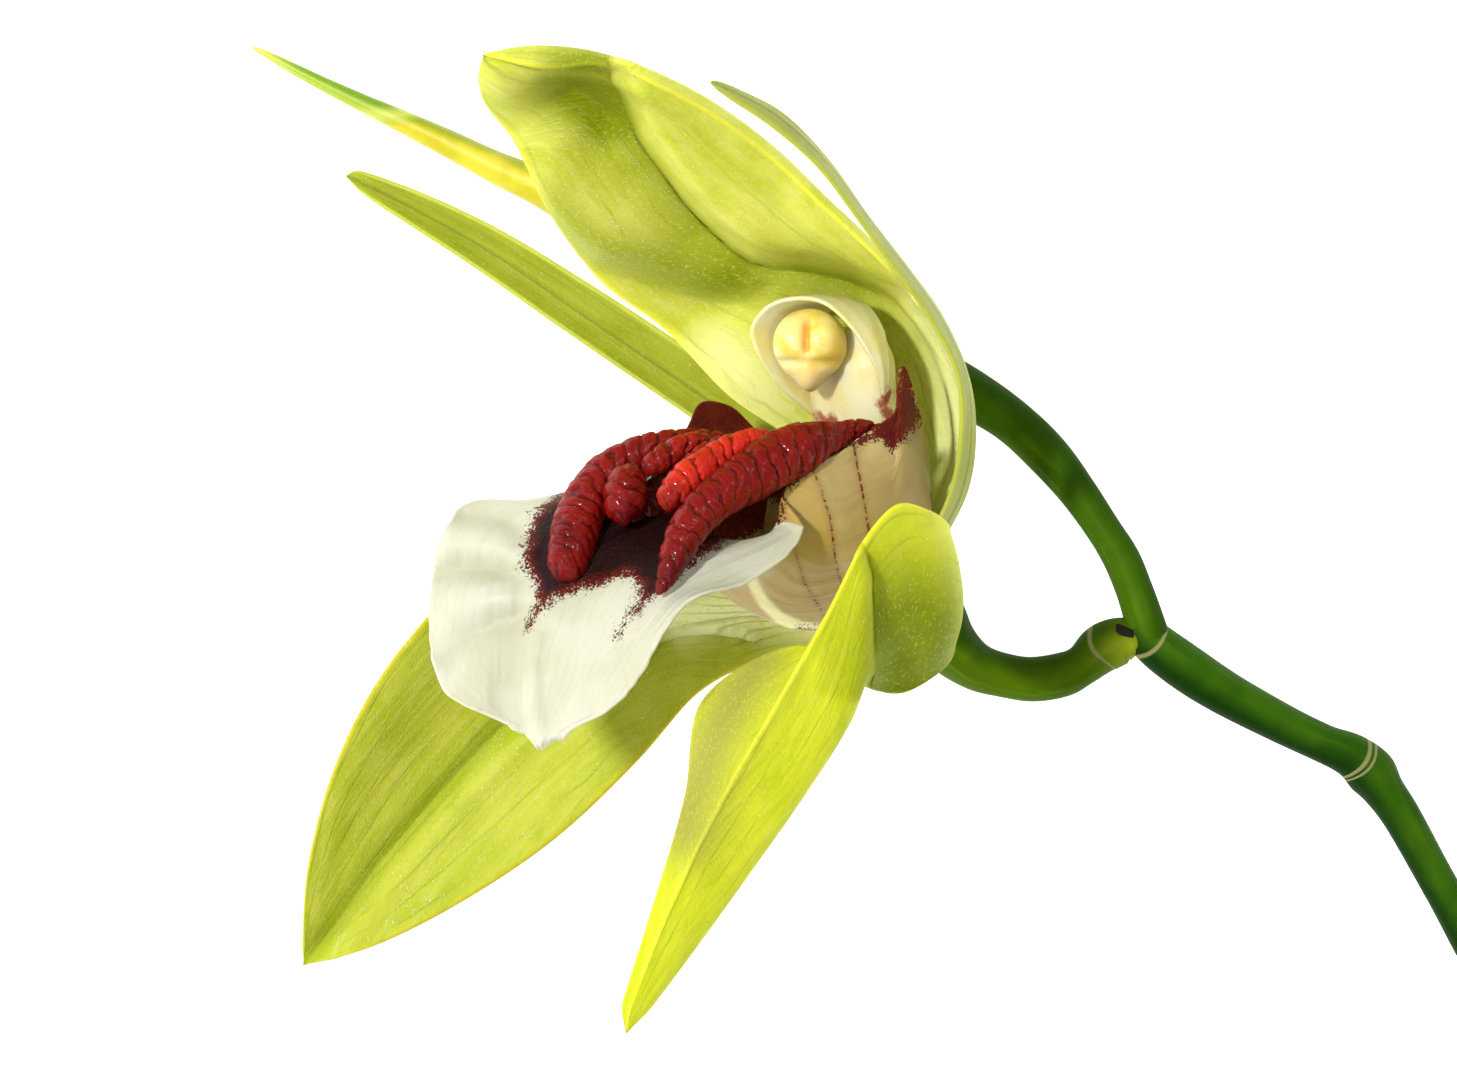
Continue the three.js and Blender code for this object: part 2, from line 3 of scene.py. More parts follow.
import bpy
import numpy as np
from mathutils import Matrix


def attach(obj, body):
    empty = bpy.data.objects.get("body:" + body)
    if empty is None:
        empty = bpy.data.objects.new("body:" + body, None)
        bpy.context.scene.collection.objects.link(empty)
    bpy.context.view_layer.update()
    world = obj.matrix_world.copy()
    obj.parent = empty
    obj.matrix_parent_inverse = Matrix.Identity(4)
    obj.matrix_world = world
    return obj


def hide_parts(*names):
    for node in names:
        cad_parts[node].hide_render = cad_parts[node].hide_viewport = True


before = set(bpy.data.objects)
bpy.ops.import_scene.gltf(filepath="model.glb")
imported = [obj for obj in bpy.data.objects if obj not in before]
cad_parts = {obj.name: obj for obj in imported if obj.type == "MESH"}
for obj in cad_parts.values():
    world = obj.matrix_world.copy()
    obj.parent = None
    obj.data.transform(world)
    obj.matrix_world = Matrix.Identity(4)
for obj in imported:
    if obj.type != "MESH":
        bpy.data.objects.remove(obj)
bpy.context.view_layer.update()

# A cut stem of Coelogyne beccarii: an open flower and a bud on the end of a zigzag rachis.
# Shapes are worked out in millimetres from the photograph's middle, Z up from the table, and
# go into their meshes in metres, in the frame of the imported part.

stemMiddle = np.array([35.55, -20.75, 0.0])
photo = {"pixelsPerMm": 18.0, "middle": (728.5, 540.0), "wide": 1457, "cameraMm": 2000.0}


# Curves, nets of curves and lines drawn on the photograph

def curveThrough(stations, places):
    # a smooth curve through stations; places run from 0 to 1, a station at a time
    stations = np.asarray(stations, float)
    top = len(stations) - 1
    spot = np.clip(np.asarray(places, float) * top, 0, top)
    first = np.minimum(spot.astype(int), top - 1)
    w = (spot - first).reshape((-1,) + (1,) * (stations.ndim - 1))
    ends = 2 * stations[0] - stations[1], 2 * stations[-1] - stations[-2]
    padded = np.concatenate([ends[0][None], stations, ends[1][None]])
    a, b, c, d = (padded[first + k] for k in range(4))

    def gap(p, q):
        return np.maximum(np.sum((p - q) ** 2, -1, keepdims=True) ** 0.25, 1e-4)

    g0, g1, g2 = gap(a, b), gap(b, c), gap(c, d)
    leave = g1 * ((b - a) / g0 - (c - a) / (g0 + g1) + (c - b) / g1)
    arrive = g1 * ((c - b) / g1 - (d - b) / (g1 + g2) + (d - c) / g2)
    return b + leave * w + (3 * (c - b) - 2 * leave - arrive) * w**2 + (2 * (b - c) + leave + arrive) * w**3


def netThrough(rails, rows, columns):
    along = curveThrough(np.swapaxes(np.asarray(rails, float), 0, 1), np.linspace(0, 1, rows + 1))
    across = curveThrough(np.swapaxes(along, 0, 1), np.linspace(0, 1, columns + 1))
    return np.swapaxes(across, 0, 1)


def pixelsOf(points):
    near = 1 - points[..., 2] / photo["cameraMm"]
    x = photo["middle"][0] + photo["pixelsPerMm"] * points[..., 0] / near
    y = photo["middle"][1] - photo["pixelsPerMm"] * points[..., 1] / near
    return np.stack([x, y], -1)


def fromPhoto(stations):
    # stations of photo x and y, height in mm and maybe a radius, as millimetres
    stations = np.asarray(stations, float)
    near = 1 - stations[..., 2] / photo["cameraMm"]
    x = (stations[..., 0] - photo["middle"][0]) / photo["pixelsPerMm"] * near
    y = (photo["middle"][1] - stations[..., 1]) / photo["pixelsPerMm"] * near
    return np.concatenate([x[..., None], y[..., None], stations[..., 2:]], -1)


def besideLine(places, line):
    # distance in pixels, positive to the right of the way the line runs, and the share of its length
    line = np.asarray(line, float)
    steps = np.diff(line, axis=0)
    lengths = np.linalg.norm(steps, axis=1)
    starts = np.concatenate([[0], np.cumsum(lengths)])
    best = np.full(places.shape[:-1], 1e9)
    signed, share = np.zeros_like(best), np.zeros_like(best)
    for k, (start, step, length) in enumerate(zip(line, steps, lengths)):
        away = places - start
        run = (away @ step) / length**2
        held = np.clip(run, 0, 1)
        far = np.linalg.norm(away - held[..., None] * step, axis=-1)
        turn = away[..., 1] * step[0] - away[..., 0] * step[1]
        if k > 0:
            run = np.maximum(run, 0)
        if k < len(steps) - 1:
            run = np.minimum(run, 1)
        nearer = far < best
        best = np.where(nearer, far, best)
        signed = np.where(nearer, far * np.sign(turn), signed)
        share = np.where(nearer, (starts[k] + run * length) / starts[-1], share)
    return signed, share


def insideOf(places, outline):
    # distance in pixels to a closed outline, positive inside it
    closed = np.asarray(list(outline) + [outline[0]], float)
    far, _ = besideLine(places, closed)
    inside = np.zeros(places.shape[:-1], bool)
    for (x0, y0), (x1, y1) in zip(closed[:-1], closed[1:]):
        crosses = (y0 > places[..., 1]) != (y1 > places[..., 1])
        reach = (x1 - x0) * (places[..., 1] - y0) / (y1 - y0 if y1 != y0 else 1e-9) + x0
        inside ^= crosses & (places[..., 0] < reach)
    return np.where(inside, np.abs(far), -np.abs(far))


def smooth(value, low, high):
    share = np.clip((value - low) / (high - low), 0, 1)
    return share * share * (3 - 2 * share)


def bump(value, middle, width):
    return np.exp(-(((value - middle) / width) ** 2))


def foldBlade(grid, folds):
    # raises and lowers a blade beside lines that are drawn on the photograph; beside a fold it paints shade in
    # a darker green, by the fold's green amount, and where that amount is negative it paints light in a paler
    # tint;
    # a fold with a dip is a step from one level to another, any other is a ridge or a groove
    lift, greenAndPaintedShade = np.zeros(grid.shape[:2]), np.zeros(grid.shape[:2])
    places = pixelsOf(grid)
    for fold in folds:
        d, share = besideLine(places, fold["line"])
        fadeIn, fadeOut = fold.get("fade", (0.15, 0.15))
        window = smooth(share, -fadeIn, fadeIn) * (1 - smooth(share, 1 - fadeOut, 1 + fadeOut))
        if "dip" in fold:
            below = np.exp(np.minimum(d, 0) / fold["run"])
            low = -fold["dip"] * below
            high = fold["rise"] * np.exp(-((np.maximum(d, 0) / fold["reach"]) ** 2))
            relief = low + (high - low) * smooth(d, 0, fold["width"])
            beside = np.where(d < 0, below, 1 - smooth(d, 0, fold["width"] * 0.5))
        else:
            beside = np.exp(-((d / fold["width"]) ** 2))
            relief = fold.get("rise", 0.0) * beside
        lift += relief * window
        greenAndPaintedShade += fold.get("green", 0.0) * beside * window
    folded = grid.copy()
    folded[..., 2] += lift
    return folded, np.clip(greenAndPaintedShade, -1, 1)


# Meshes

def unit(vectors):
    return vectors / np.maximum(np.linalg.norm(vectors, axis=-1, keepdims=True), 1e-9)


def normalsOf(grid):
    return unit(np.cross(np.gradient(grid, axis=0), np.gradient(grid, axis=1)))


def distancesOf(grid):
    # millimetres along each rail, and across each row from its middle
    steps = np.linalg.norm(np.diff(grid, axis=0), axis=-1)
    along = np.concatenate([np.zeros((1, grid.shape[1])), np.cumsum(steps, axis=0)])
    steps = np.linalg.norm(np.diff(grid, axis=1), axis=-1)
    across = np.concatenate([np.zeros((grid.shape[0], 1)), np.cumsum(steps, axis=1)], axis=1)
    return along, across, across[:, -1:]


def meshFrom(name, points, faces, attributes=None):
    mesh = bpy.data.meshes.new(name)
    mesh.from_pydata(((np.asarray(points) - stemMiddle) / 1000).tolist(), [], faces)
    for key, values in (attributes or {}).items():
        kind = "FLOAT" if values.ndim == 1 else "FLOAT_VECTOR"
        made = mesh.attributes.new(key, kind, "POINT")
        made.data.foreach_set("value" if kind == "FLOAT" else "vector", values.astype(np.float32).ravel())
    mesh.polygons.foreach_set("use_smooth", [True] * len(mesh.polygons))
    mesh.validate()
    mesh.update()
    return mesh


def pointsOf(mesh):
    # where the vertices are, in the script's millimetres
    points = np.zeros(len(mesh.vertices) * 3, np.float32)
    mesh.vertices.foreach_get("co", points)
    return points.reshape(-1, 3) * 1000 + stemMiddle


def setField(mesh, name, values):
    made = mesh.attributes.new(name, "FLOAT", "POINT")
    made.data.foreach_set("value", values.astype(np.float32))


def bladeMesh(name, grid, look, fields=None):
    # a sheet with a front, a back and a rounded margin; it thins towards its margins and its tip
    rows, columns = grid.shape[:2]
    s, t = np.meshgrid(np.linspace(0, 1, rows), np.linspace(0, 1, columns), indexing="ij")
    along, across, width = distancesOf(grid)
    toTip = along[-1:] - along
    toMargin = np.minimum(across, width - across)
    swell = (look["thickMm"] - look["marginMm"]) * smooth(toMargin, 0, look.get("taperMm", 2.0))
    thick = look["marginMm"] + swell
    if look.get("thinTip", True):
        thick = thick * (0.45 + 0.55 * smooth(toTip, 0, 2.0))
    normal = normalsOf(grid)
    keel = look.get("keelMm", 0.0) * np.exp(-(((t - 0.5) * width / 0.45) ** 2)) * smooth(toTip, 0, 6.0)
    front = grid + normal * (thick / 2)[..., None]
    back = grid - normal * (thick / 2 + keel)[..., None]
    ring = [(0, j) for j in range(columns - 1)] + [(i, columns - 1) for i in range(rows - 1)]
    ring += [(rows - 1, j) for j in range(columns - 1, 0, -1)] + [(i, 0) for i in range(rows - 1, 0, -1)]
    inner = [(min(max(i, 1), rows - 2), min(max(j, 1), columns - 2)) for i, j in ring]
    edge = tuple(np.array(ring).T)
    outward = unit(grid[edge] - grid[tuple(np.array(inner).T)])
    rim = (front[edge] + back[edge]) / 2 + outward * (thick[edge] * 0.5)[:, None]
    count = rows * columns
    number = np.arange(count).reshape(rows, columns)
    quads = np.stack([number[:-1, :-1], number[1:, :-1], number[1:, 1:], number[:-1, 1:]], -1).reshape(-1, 4)
    faces = quads.tolist() + (quads[:, ::-1] + count).tolist()
    for k, (i, j) in enumerate(ring):
        nextK = (k + 1) % len(ring)
        a, b = number[i, j], number[ring[nextK]]
        m, n = 2 * count + k, 2 * count + nextK
        faces.append([int(a), int(b), n, m])
        faces.append([m, n, int(b) + count, int(a) + count])
    flat = [values.reshape(-1) for values in (s, t, along, across, np.broadcast_to(width, s.shape))]
    onRim = number[edge]
    every = [np.concatenate([values, values, values[onRim]]) for values in flat]
    side = np.concatenate([np.ones(count), np.zeros(count), np.full(len(ring), 0.5)])
    attributes = {
        "blade": np.stack([every[0], every[1], side], -1),
        "reachMm": np.stack([every[2], every[3] - every[4] / 2, every[4]], -1),
    }
    for key, values in (fields or {}).items():
        values = np.asarray(values).reshape((count,) + np.shape(values)[2:])
        attributes[key] = np.concatenate([values, values, values[onRim]])
    return meshFrom(name, np.concatenate([front.reshape(-1, 3), back.reshape(-1, 3), rim]), faces, attributes)


def roundTip(grid, radius):
    # draws the rows together over the last stretch, so that a blade ends in a rounded point
    middle = grid[:, grid.shape[1] // 2]
    steps = np.linalg.norm(np.diff(middle, axis=0), axis=-1)
    toTip = np.concatenate([np.cumsum(steps[::-1])[::-1], [0]])
    narrow = np.sqrt(np.clip(1 - (1 - np.minimum(toTip / radius, 1)) ** 2, 0.0025, 1))
    return middle[:, None] + (grid - middle[:, None]) * narrow[:, None, None]


def addPiece(name, mesh, material, slot, *nodes):
    mesh.materials.clear()
    mesh.materials.append(material)
    mesh.polygons.foreach_set("material_index", [0] * len(mesh.polygons))
    piece = bpy.data.objects.new(name, mesh)
    bpy.context.scene.collection.objects.link(piece)
    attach(piece, "root")
    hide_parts(*nodes)
    return piece


# Node trees

class Value:
    # an output in a node tree that is reckoned with like a number; each sum or product is a node
    def __init__(self, tree, socket):
        self.tree, self.socket = tree, socket

    def beside(self, name):
        # another output of the same node
        return Value(self.tree, self.socket.node.outputs[name])

    def calc(self, operation, *others):
        inputs = dict(enumerate((self, *others)))
        return addNode(self.tree, "ShaderNodeMath", inputs, operation=operation)

    def __add__(self, other):
        return self.calc("ADD", other)

    def __sub__(self, other):
        return self.calc("SUBTRACT", other)

    def __mul__(self, other):
        return self.calc("MULTIPLY", other)

    def __truediv__(self, other):
        return self.calc("DIVIDE", other)

    def __rsub__(self, other):
        return addNode(self.tree, "ShaderNodeMath", {0: other, 1: self}, operation="SUBTRACT")

    def __rtruediv__(self, other):
        return addNode(self.tree, "ShaderNodeMath", {0: other, 1: self}, operation="DIVIDE")

    def __abs__(self):
        return self.calc("ABSOLUTE")


def plug(value, socket):
    if isinstance(value, Value):
        value.tree.links.new(value.socket, socket)
    elif socket.type == "RGBA":
        socket.default_value = (*value, 1)
    else:
        socket.default_value = value


def addNode(tree, kind, inputs=None, output=0, **settings):
    made = tree.nodes.new(kind)
    for key, value in settings.items():
        setattr(made, key, value)
    for key, value in (inputs or {}).items():
        plug(value, made.inputs[key])
    return Value(tree, made.outputs[output])


def between(value, low, high, toLow=0.0, toHigh=1.0):
    inputs = {0: value, 1: low, 2: high, 3: toLow, 4: toHigh}
    return addNode(value.tree, "ShaderNodeMapRange", inputs, interpolation_type="SMOOTHSTEP")


def blend(share, first, second):
    inputs = {0: share, 6: first, 7: second}
    return addNode(share.tree, "ShaderNodeMix", inputs, output=2, data_type="RGBA", clamp_factor=True)


def noiseOf(vector, scale, detail=2.0, rough=0.5):
    inputs = {"Vector": vector, "Scale": scale, "Detail": detail, "Roughness": rough}
    return addNode(vector.tree, "ShaderNodeTexNoise", inputs)


def vectorCalc(operation, first, second):
    return addNode(first.tree, "ShaderNodeVectorMath", {0: first, 1: second}, operation=operation)


def splitOf(vector):
    x = addNode(vector.tree, "ShaderNodeSeparateXYZ", {0: vector})
    return x, x.beside(1), x.beside(2)


def joinOf(tree, inputs):
    return addNode(tree, "ShaderNodeCombineXYZ", inputs)


def field(tree, name, output="Fac"):
    return addNode(tree, "ShaderNodeAttribute", output=output, attribute_name=name)


def millimetres(tree):
    return vectorCalc("MULTIPLY", addNode(tree, "ShaderNodeTexCoord", output="Object"), (1000.0,) * 3)


def newMaterial(name, look):
    material = bpy.data.materials.new(name)
    material.use_nodes = True
    tree = material.node_tree
    shader = tree.nodes["Principled BSDF"]
    fixed = {
        "Roughness": look["roughness"], "Specular IOR Level": look["shine"],
        "Subsurface Weight": look["glow"], "Subsurface Scale": look["glowMm"] / 1000,
        "Subsurface Radius": look["glowColour"],
        "Coat Weight": look.get("coat", 0.0), "Coat Roughness": look.get("coatRough", 0.2),
    }
    for key, value in fixed.items():
        shader.inputs[key].default_value = value
    return material, tree, shader


def finishMaterial(shader, colour, layers):
    # the colour, and layers of height, each with its depth in millimetres
    plug(colour, shader.inputs["Base Color"])
    normal = None
    for height, depth in layers:
        inputs = {"Height": height, "Strength": 1.0, "Distance": depth / 1000}
        if normal is not None:
            inputs["Normal"] = normal
        normal = addNode(height.tree, "ShaderNodeBump", inputs)
    plug(normal, shader.inputs["Normal"])


def sparkleOf(where, perMm, share, size):
    # small glint dots from single swollen cells, in some cells of a random pattern; the caller whitens them in
    # the colour as painted highlights
    cells = addNode(where.tree, "ShaderNodeTexVoronoi", {"Vector": where, "Scale": perMm}, output="Distance",
                    feature="F1")
    chosen = splitOf(cells.beside("Color"))[0].calc("GREATER_THAN", 1.0 - share)
    return between(cells, size * 0.4, size, 1.0, 0.0) * chosen


def tepalMaterial(name, look):
    material, tree, shader = newMaterial(name, look)
    s, t, _ = splitOf(field(tree, "blade", "Vector"))
    reach = field(tree, "reachMm", "Vector")
    width = splitOf(reach)[2]
    sheet = vectorCalc("MULTIPLY", reach, (1.0, 1.0, 0.0))
    mottle = noiseOf(sheet, 0.28, 3.0, 0.6)
    colour = blend(between(mottle, 0.35, 0.68), look["body"], look["bodyDeep"])
    streaks = noiseOf(vectorCalc("MULTIPLY", reach, (0.12, 1.6, 0.0)), 1.0)
    colour = blend(between(streaks, 0.45, 0.75, 0.0, 0.35), colour, look["pale"])
    fromMiddle = abs(t * 2.0 - 1.0)
    colour = blend(between(fromMiddle, 0.95, 1.0, 0.0, 0.7), colour, look["margin"])
    colour = blend(between(s, look["baseTo"], 0.0, 0.0, 0.8), colour, look["base"])
    colour = blend(between(s, 0.9, 1.0, 0.0, 0.5), colour, look["tip"])
    # painted shade beside folds, in a darker green, where the fold field is positive, and painted light in a
    # paler tint where it is negative; on the near sepal that tint is duller and darker
    greenAndPaintedShade = field(tree, "greenAndPaintedShade")
    colour = blend(greenAndPaintedShade.calc("MAXIMUM", 0.0), colour, look["greenAndPaintedShade"])
    colour = blend((greenAndPaintedShade * -1.0).calc("MAXIMUM", 0.0), colour, look["dullAndPaintedLight"])
    # nerves: long ones along the blade, joined by a fine net
    wobble = noiseOf(sheet, 0.22, 3.0)
    place = t * look["nerves"] + wobble * look["nerveWander"]
    offLine = abs(place.calc("FRACT") - 0.5)
    nerve = between(offLine * width / look["nerves"], 0.03, 0.11, 1.0, 0.0)
    nerve = nerve * between(noiseOf(sheet, 0.16), 0.4, 0.62)
    bent = vectorCalc("MULTIPLY", noiseOf(sheet, 0.35).beside("Color"), (1.1, 1.1, 0.0))
    slanted = vectorCalc("ADD", vectorCalc("MULTIPLY", reach, (0.17, 0.55, 0.0)), bent)
    cells = addNode(tree, "ShaderNodeTexVoronoi", {"Vector": slanted, "Scale": 1.0}, output="Distance",
                    feature="DISTANCE_TO_EDGE")
    web = between(cells, 0.008, 0.05, 1.0, 0.0) * between(mottle, 0.35, 0.6, 0.25, 1.0)
    lines = (nerve * look["nerveDark"]).calc("MAXIMUM", web * look["webDark"])
    colour = blend(lines, colour, look["vein"])
    colour = blend(between(fromMiddle * width, 0.12, 0.7, look["midribDark"], 0.0), colour, look["vein"])
    sparkle = sparkleOf(sheet, look["sparklePerMm"], look["sparkleShare"], 0.3)
    sparkle = sparkle * between(noiseOf(sheet, 0.2), 0.4, 0.62, 0.25, 1.0)
    sparkle = sparkle * between(fromMiddle, 0.8, 0.93, 1.0, 0.0)
    colour = blend(between(noiseOf(sheet, 4.0, 2.0, 0.7), 0.52, 0.75, 0.0, 0.45), colour, look["pale"])
    # painted highlights: the glint dots are whitened in the colour; they are also shinier and raised
    colour = blend(sparkle * 0.7, colour, look["sparkle"])
    plug(between(sparkle, 0.0, 0.6, look["roughness"], 0.16), shader.inputs["Roughness"])
    plug(between(sparkle, 0.0, 0.6, look["shine"], 1.0), shader.inputs["Specular IOR Level"])
    grain = noiseOf(sheet, 9.0, 2.0, 0.6)
    finishMaterial(shader, colour, [(lines * -1.0, 0.05), (grain, 0.045), (streaks, 0.1), (sparkle, 0.07)])
    return material


tepalColours = {
    "roughness": 0.45, "shine": 0.16, "glow": 0.4, "glowMm": 0.6, "glowColour": (0.9, 1.0, 0.22),
    "body": (0.66, 0.67, 0.10), "bodyDeep": (0.54, 0.58, 0.04), "pale": (0.76, 0.76, 0.22),
    "margin": (0.76, 0.70, 0.04), "base": (0.78, 0.80, 0.30), "tip": (0.70, 0.73, 0.04),
    "vein": (0.34, 0.42, 0.008), "sparkle": (1.0, 1.0, 0.75), "greenAndPaintedShade": (0.25, 0.30, 0.001),
    "dullAndPaintedLight": (0.82, 0.84, 0.34),
    "baseTo": 0.22, "nerves": 9.0, "nerveWander": 0.5, "nerveDark": 0.4, "webDark": 0.16, "midribDark": 0.25,
    "sparklePerMm": 4.8, "sparkleShare": 0.4,
}
hoodMaterial = tepalMaterial("hoodLime", tepalColours)
farSepalMaterial = tepalMaterial("farSepalOlive", {
    **tepalColours, "body": (0.47, 0.50, 0.045), "bodyDeep": (0.39, 0.44, 0.018), "pale": (0.58, 0.60, 0.12),
    "base": (0.62, 0.64, 0.22), "margin": (0.50, 0.42, 0.02), "tip": (0.46, 0.50, 0.008),
    "greenAndPaintedShade": (0.22, 0.30, 0.002), "vein": (0.22, 0.30, 0.004), "baseTo": 0.24, "dullAndPaintedLight": (0.95, 0.97, 0.50),
    "shine": 0.1,
})
# the near sepal's base, over the first two fifths of its length, is a bright near-white yellow: partly its
# paler base, partly painted light
nearSepalMaterial = tepalMaterial("nearSepalLime", {
    **tepalColours, "body": (0.64, 0.68, 0.022), "bodyDeep": (0.56, 0.62, 0.012), "pale": (0.72, 0.75, 0.06),
    "base": (0.95, 0.95, 0.12), "tip": (0.62, 0.68, 0.010), "greenAndPaintedShade": (0.20, 0.25, 0.002),
    "vein": (0.28, 0.36, 0.004), "dullAndPaintedLight": (0.34, 0.34, 0.055),
    "baseTo": 0.4, "shine": 0.07, "sparkleShare": 0.12,
})
petalMaterial = tepalMaterial("petalOlive", {
    **tepalColours, "body": (0.34, 0.37, 0.024), "bodyDeep": (0.28, 0.32, 0.012), "pale": (0.44, 0.47, 0.07),
    "margin": (0.48, 0.51, 0.07), "base": (0.46, 0.50, 0.10), "tip": (0.34, 0.38, 0.02),
    "vein": (0.15, 0.19, 0.004), "nerves": 3.0, "nerveDark": 0.2, "webDark": 0.08, "midribDark": 0.6,
    "sparkleShare": 0.1,
})
print("sepal and petal materials made")


# Tepals

dorsalSepal = {
    "thickMm": 0.6, "marginMm": 0.3, "taperMm": 2.5, "keelMm": 0.25, "tipMm": 0.8,
    "rows": 170, "columns": 110,
    "rails": [
        [[9, 0, 11.2], [8.4, 0.8, 10.8], [6.7, 2.4, 10.6], [3.6, 5.6, 10.6], [0.2, 8, 11.5],
         [-3.4, 11.7, 13], [-7, 14.4, 15.2], [-9.8, 18.1, 17.8], [-11.8, 22.1, 21], [-13.3, 24, 23.3],
         [-13.8, 25.8, 26]],
        [[10.1, 0.5, 11.8], [10.9, 1.6, 11.4], [11.4, 4.1, 11], [10.3, 9.1, 11.3], [7.3, 13.2, 13.6],
         [2.3, 15.3, 16.2], [-2, 18.4, 18.5], [-4.9, 22.1, 21.5], [-8.7, 25.1, 24.5], [-11.6, 25.2, 25.9],
         [-13.6, 26.3, 27]],
        [[10.8, 0, 13], [12.2, 1.9, 14.8], [13.4, 6.1, 17], [12.2, 11, 18.5], [9, 15.1, 20],
         [5.5, 18.5, 21.5], [2, 21.8, 23.5], [-2, 24.5, 25.5], [-6.8, 26.5, 27], [-9.9, 26.9, 27.4],
         [-13.2, 26.7, 27.6]],
        [[10.6, 0.1, 13.4], [11.9, 2.1, 15.2], [13.1, 6.2, 17.5], [11.9, 10.9, 19], [8.8, 14.9, 20.5],
         [5.2, 18.3, 22], [1.7, 21.5, 24], [-2.3, 24.1, 26], [-7.1, 26.1, 27.5], [-9.8, 25.9, 28.1],
         [-13.1, 26.5, 27.9]],
    ],
    "folds": [
        # the near half rolls over the valley along this line, with painted shade in the valley
        {"rise": 2.2, "dip": 2.0, "width": 24, "run": 44, "reach": 110, "fade": (0.1, 0.12), "green": 0.75,
         "line": [(905, 300), (880, 290), (850, 277), (810, 268), (775, 266), (750, 259), (730, 245),
                  (700, 218), (680, 195), (655, 160), (640, 140), (625, 100), (606, 58)]},
        # the far half bulges, and falls away below this line; the next line paints a band of shadow below it
        {"rise": -1.3, "dip": -0.8, "width": 30, "run": 60, "reach": 80, "fade": (0.2, 0.12),
         "line": [(520, 150), (548, 190), (575, 222), (605, 242), (650, 253), (700, 268), (750, 276)]},
        {"rise": -0.3, "width": 24, "fade": (0.2, 0.12), "green": 0.65,
         "line": [(548, 196), (575, 228), (605, 250), (650, 262), (700, 276), (750, 284)]},
        {"rise": 0.7, "width": 42, "fade": (0.2, 0.3),
         "line": [(545, 120), (580, 165), (620, 200), (670, 228)]},
        # the roll turns under along its lower edge, with painted shade, and the base beside the column gets
        # painted light
        {"rise": -0.25, "width": 15, "fade": (0.3, 0.2), "green": 0.5,
         "line": [(770, 250), (800, 254), (840, 258), (875, 270), (900, 284)]},
        {"width": 34, "fade": (0.3, 0.3), "green": -0.9,
         "line": [(700, 330), (735, 365), (765, 395), (790, 415)]},
        # a strip of painted light within, right of the column, and a thin darker green line behind the tip's
        # margin
        {"width": 36, "fade": (0.25, 0.15), "green": -1.1,
         "line": [(900, 240), (940, 285), (962, 340), (965, 400), (955, 470), (945, 520)]},
        {"width": 7, "fade": (0.2, 0.2), "green": 0.3,
         "line": [(492, 50), (520, 54), (560, 56), (604, 56)]},
        # the dip under the rolled margin near the tip, with painted shadow
        {"rise": -1.1, "width": 32, "fade": (0.3, 0.3), "green": 0.95,
         "line": [(548, 78), (575, 90), (600, 108), (618, 135)]},
    ],
}


def bladeGrid(look):
    grid = netThrough(look["rails"], look["rows"], look["columns"])
    grid, greenAndPaintedShade = foldBlade(grid, look.get("folds", []))
    return roundTip(grid, look["tipMm"]), {"greenAndPaintedShade": greenAndPaintedShade}


def addBlade(name, look, material, slot, node):
    grid, fields = bladeGrid(look)
    return addPiece(name, bladeMesh(name, grid, look, fields), material, slot, node)


sepalFar = {
    "thickMm": 0.6, "marginMm": 0.3, "keelMm": 0.3, "rows": 150, "columns": 90, "tipMm": 0.9,
    "rails": [
        [[8.3, -1.9, 11.2], [4, -2.8, 8.4], [-0.5, -2.5, 7.2], [-6.6, -1.1, 7], [-12.7, -1.1, 7],
         [-18, -6, 6.8], [-21.3, -11.5, 5.4], [-23.2, -17.7, 3.1], [-23.7, -22.9, 0.85]],
        [[8.6, -2.5, 11], [4.5, -4, 7.2], [0.1, -4.4, 5.2], [-4.9, -5.5, 4], [-10.5, -8.3, 3.2],
         [-15.5, -12.8, 2.8], [-19.1, -17.1, 2.4], [-21.8, -20.8, 1.5], [-23.6, -23.6, 0.6]],
        [[8.7, -3, 11.4], [5.1, -5.5, 8.2], [0.8, -6.9, 6.4], [-1.8, -8.4, 5.4], [-5.1, -12.1, 5],
         [-9.5, -16.3, 4.6], [-13.9, -19.4, 4], [-18.9, -22.1, 2.55], [-23.1, -23.6, 0.65]],
    ],
    "folds": [
        # painted shade along the groove, painted light on the pale band across the base under the lip, and
        # painted shade below the base's edge line
        {"rise": -0.7, "width": 13, "fade": (0.05, 0.3), "green": 0.55,
         "line": [(312, 952), (340, 920), (380, 862), (420, 815), (460, 770), (500, 728), (600, 660)]},
        {"rise": 0.35, "width": 16, "fade": (0.15, 0.3),
         "line": [(345, 948), (400, 872), (445, 822), (485, 778), (525, 740), (600, 690)]},
        {"width": 26, "fade": (0.1, 0.1), "green": -1.2,
         "line": [(665, 622), (720, 612), (780, 612), (835, 622)]},
        {"rise": 0.5, "dip": 0.3, "width": 5, "run": 14, "reach": 24, "fade": (0.1, 0.1), "green": 0.35,
         "line": [(758, 642), (740, 636), (710, 632), (680, 634), (660, 641), (636, 660)]},
    ],
}
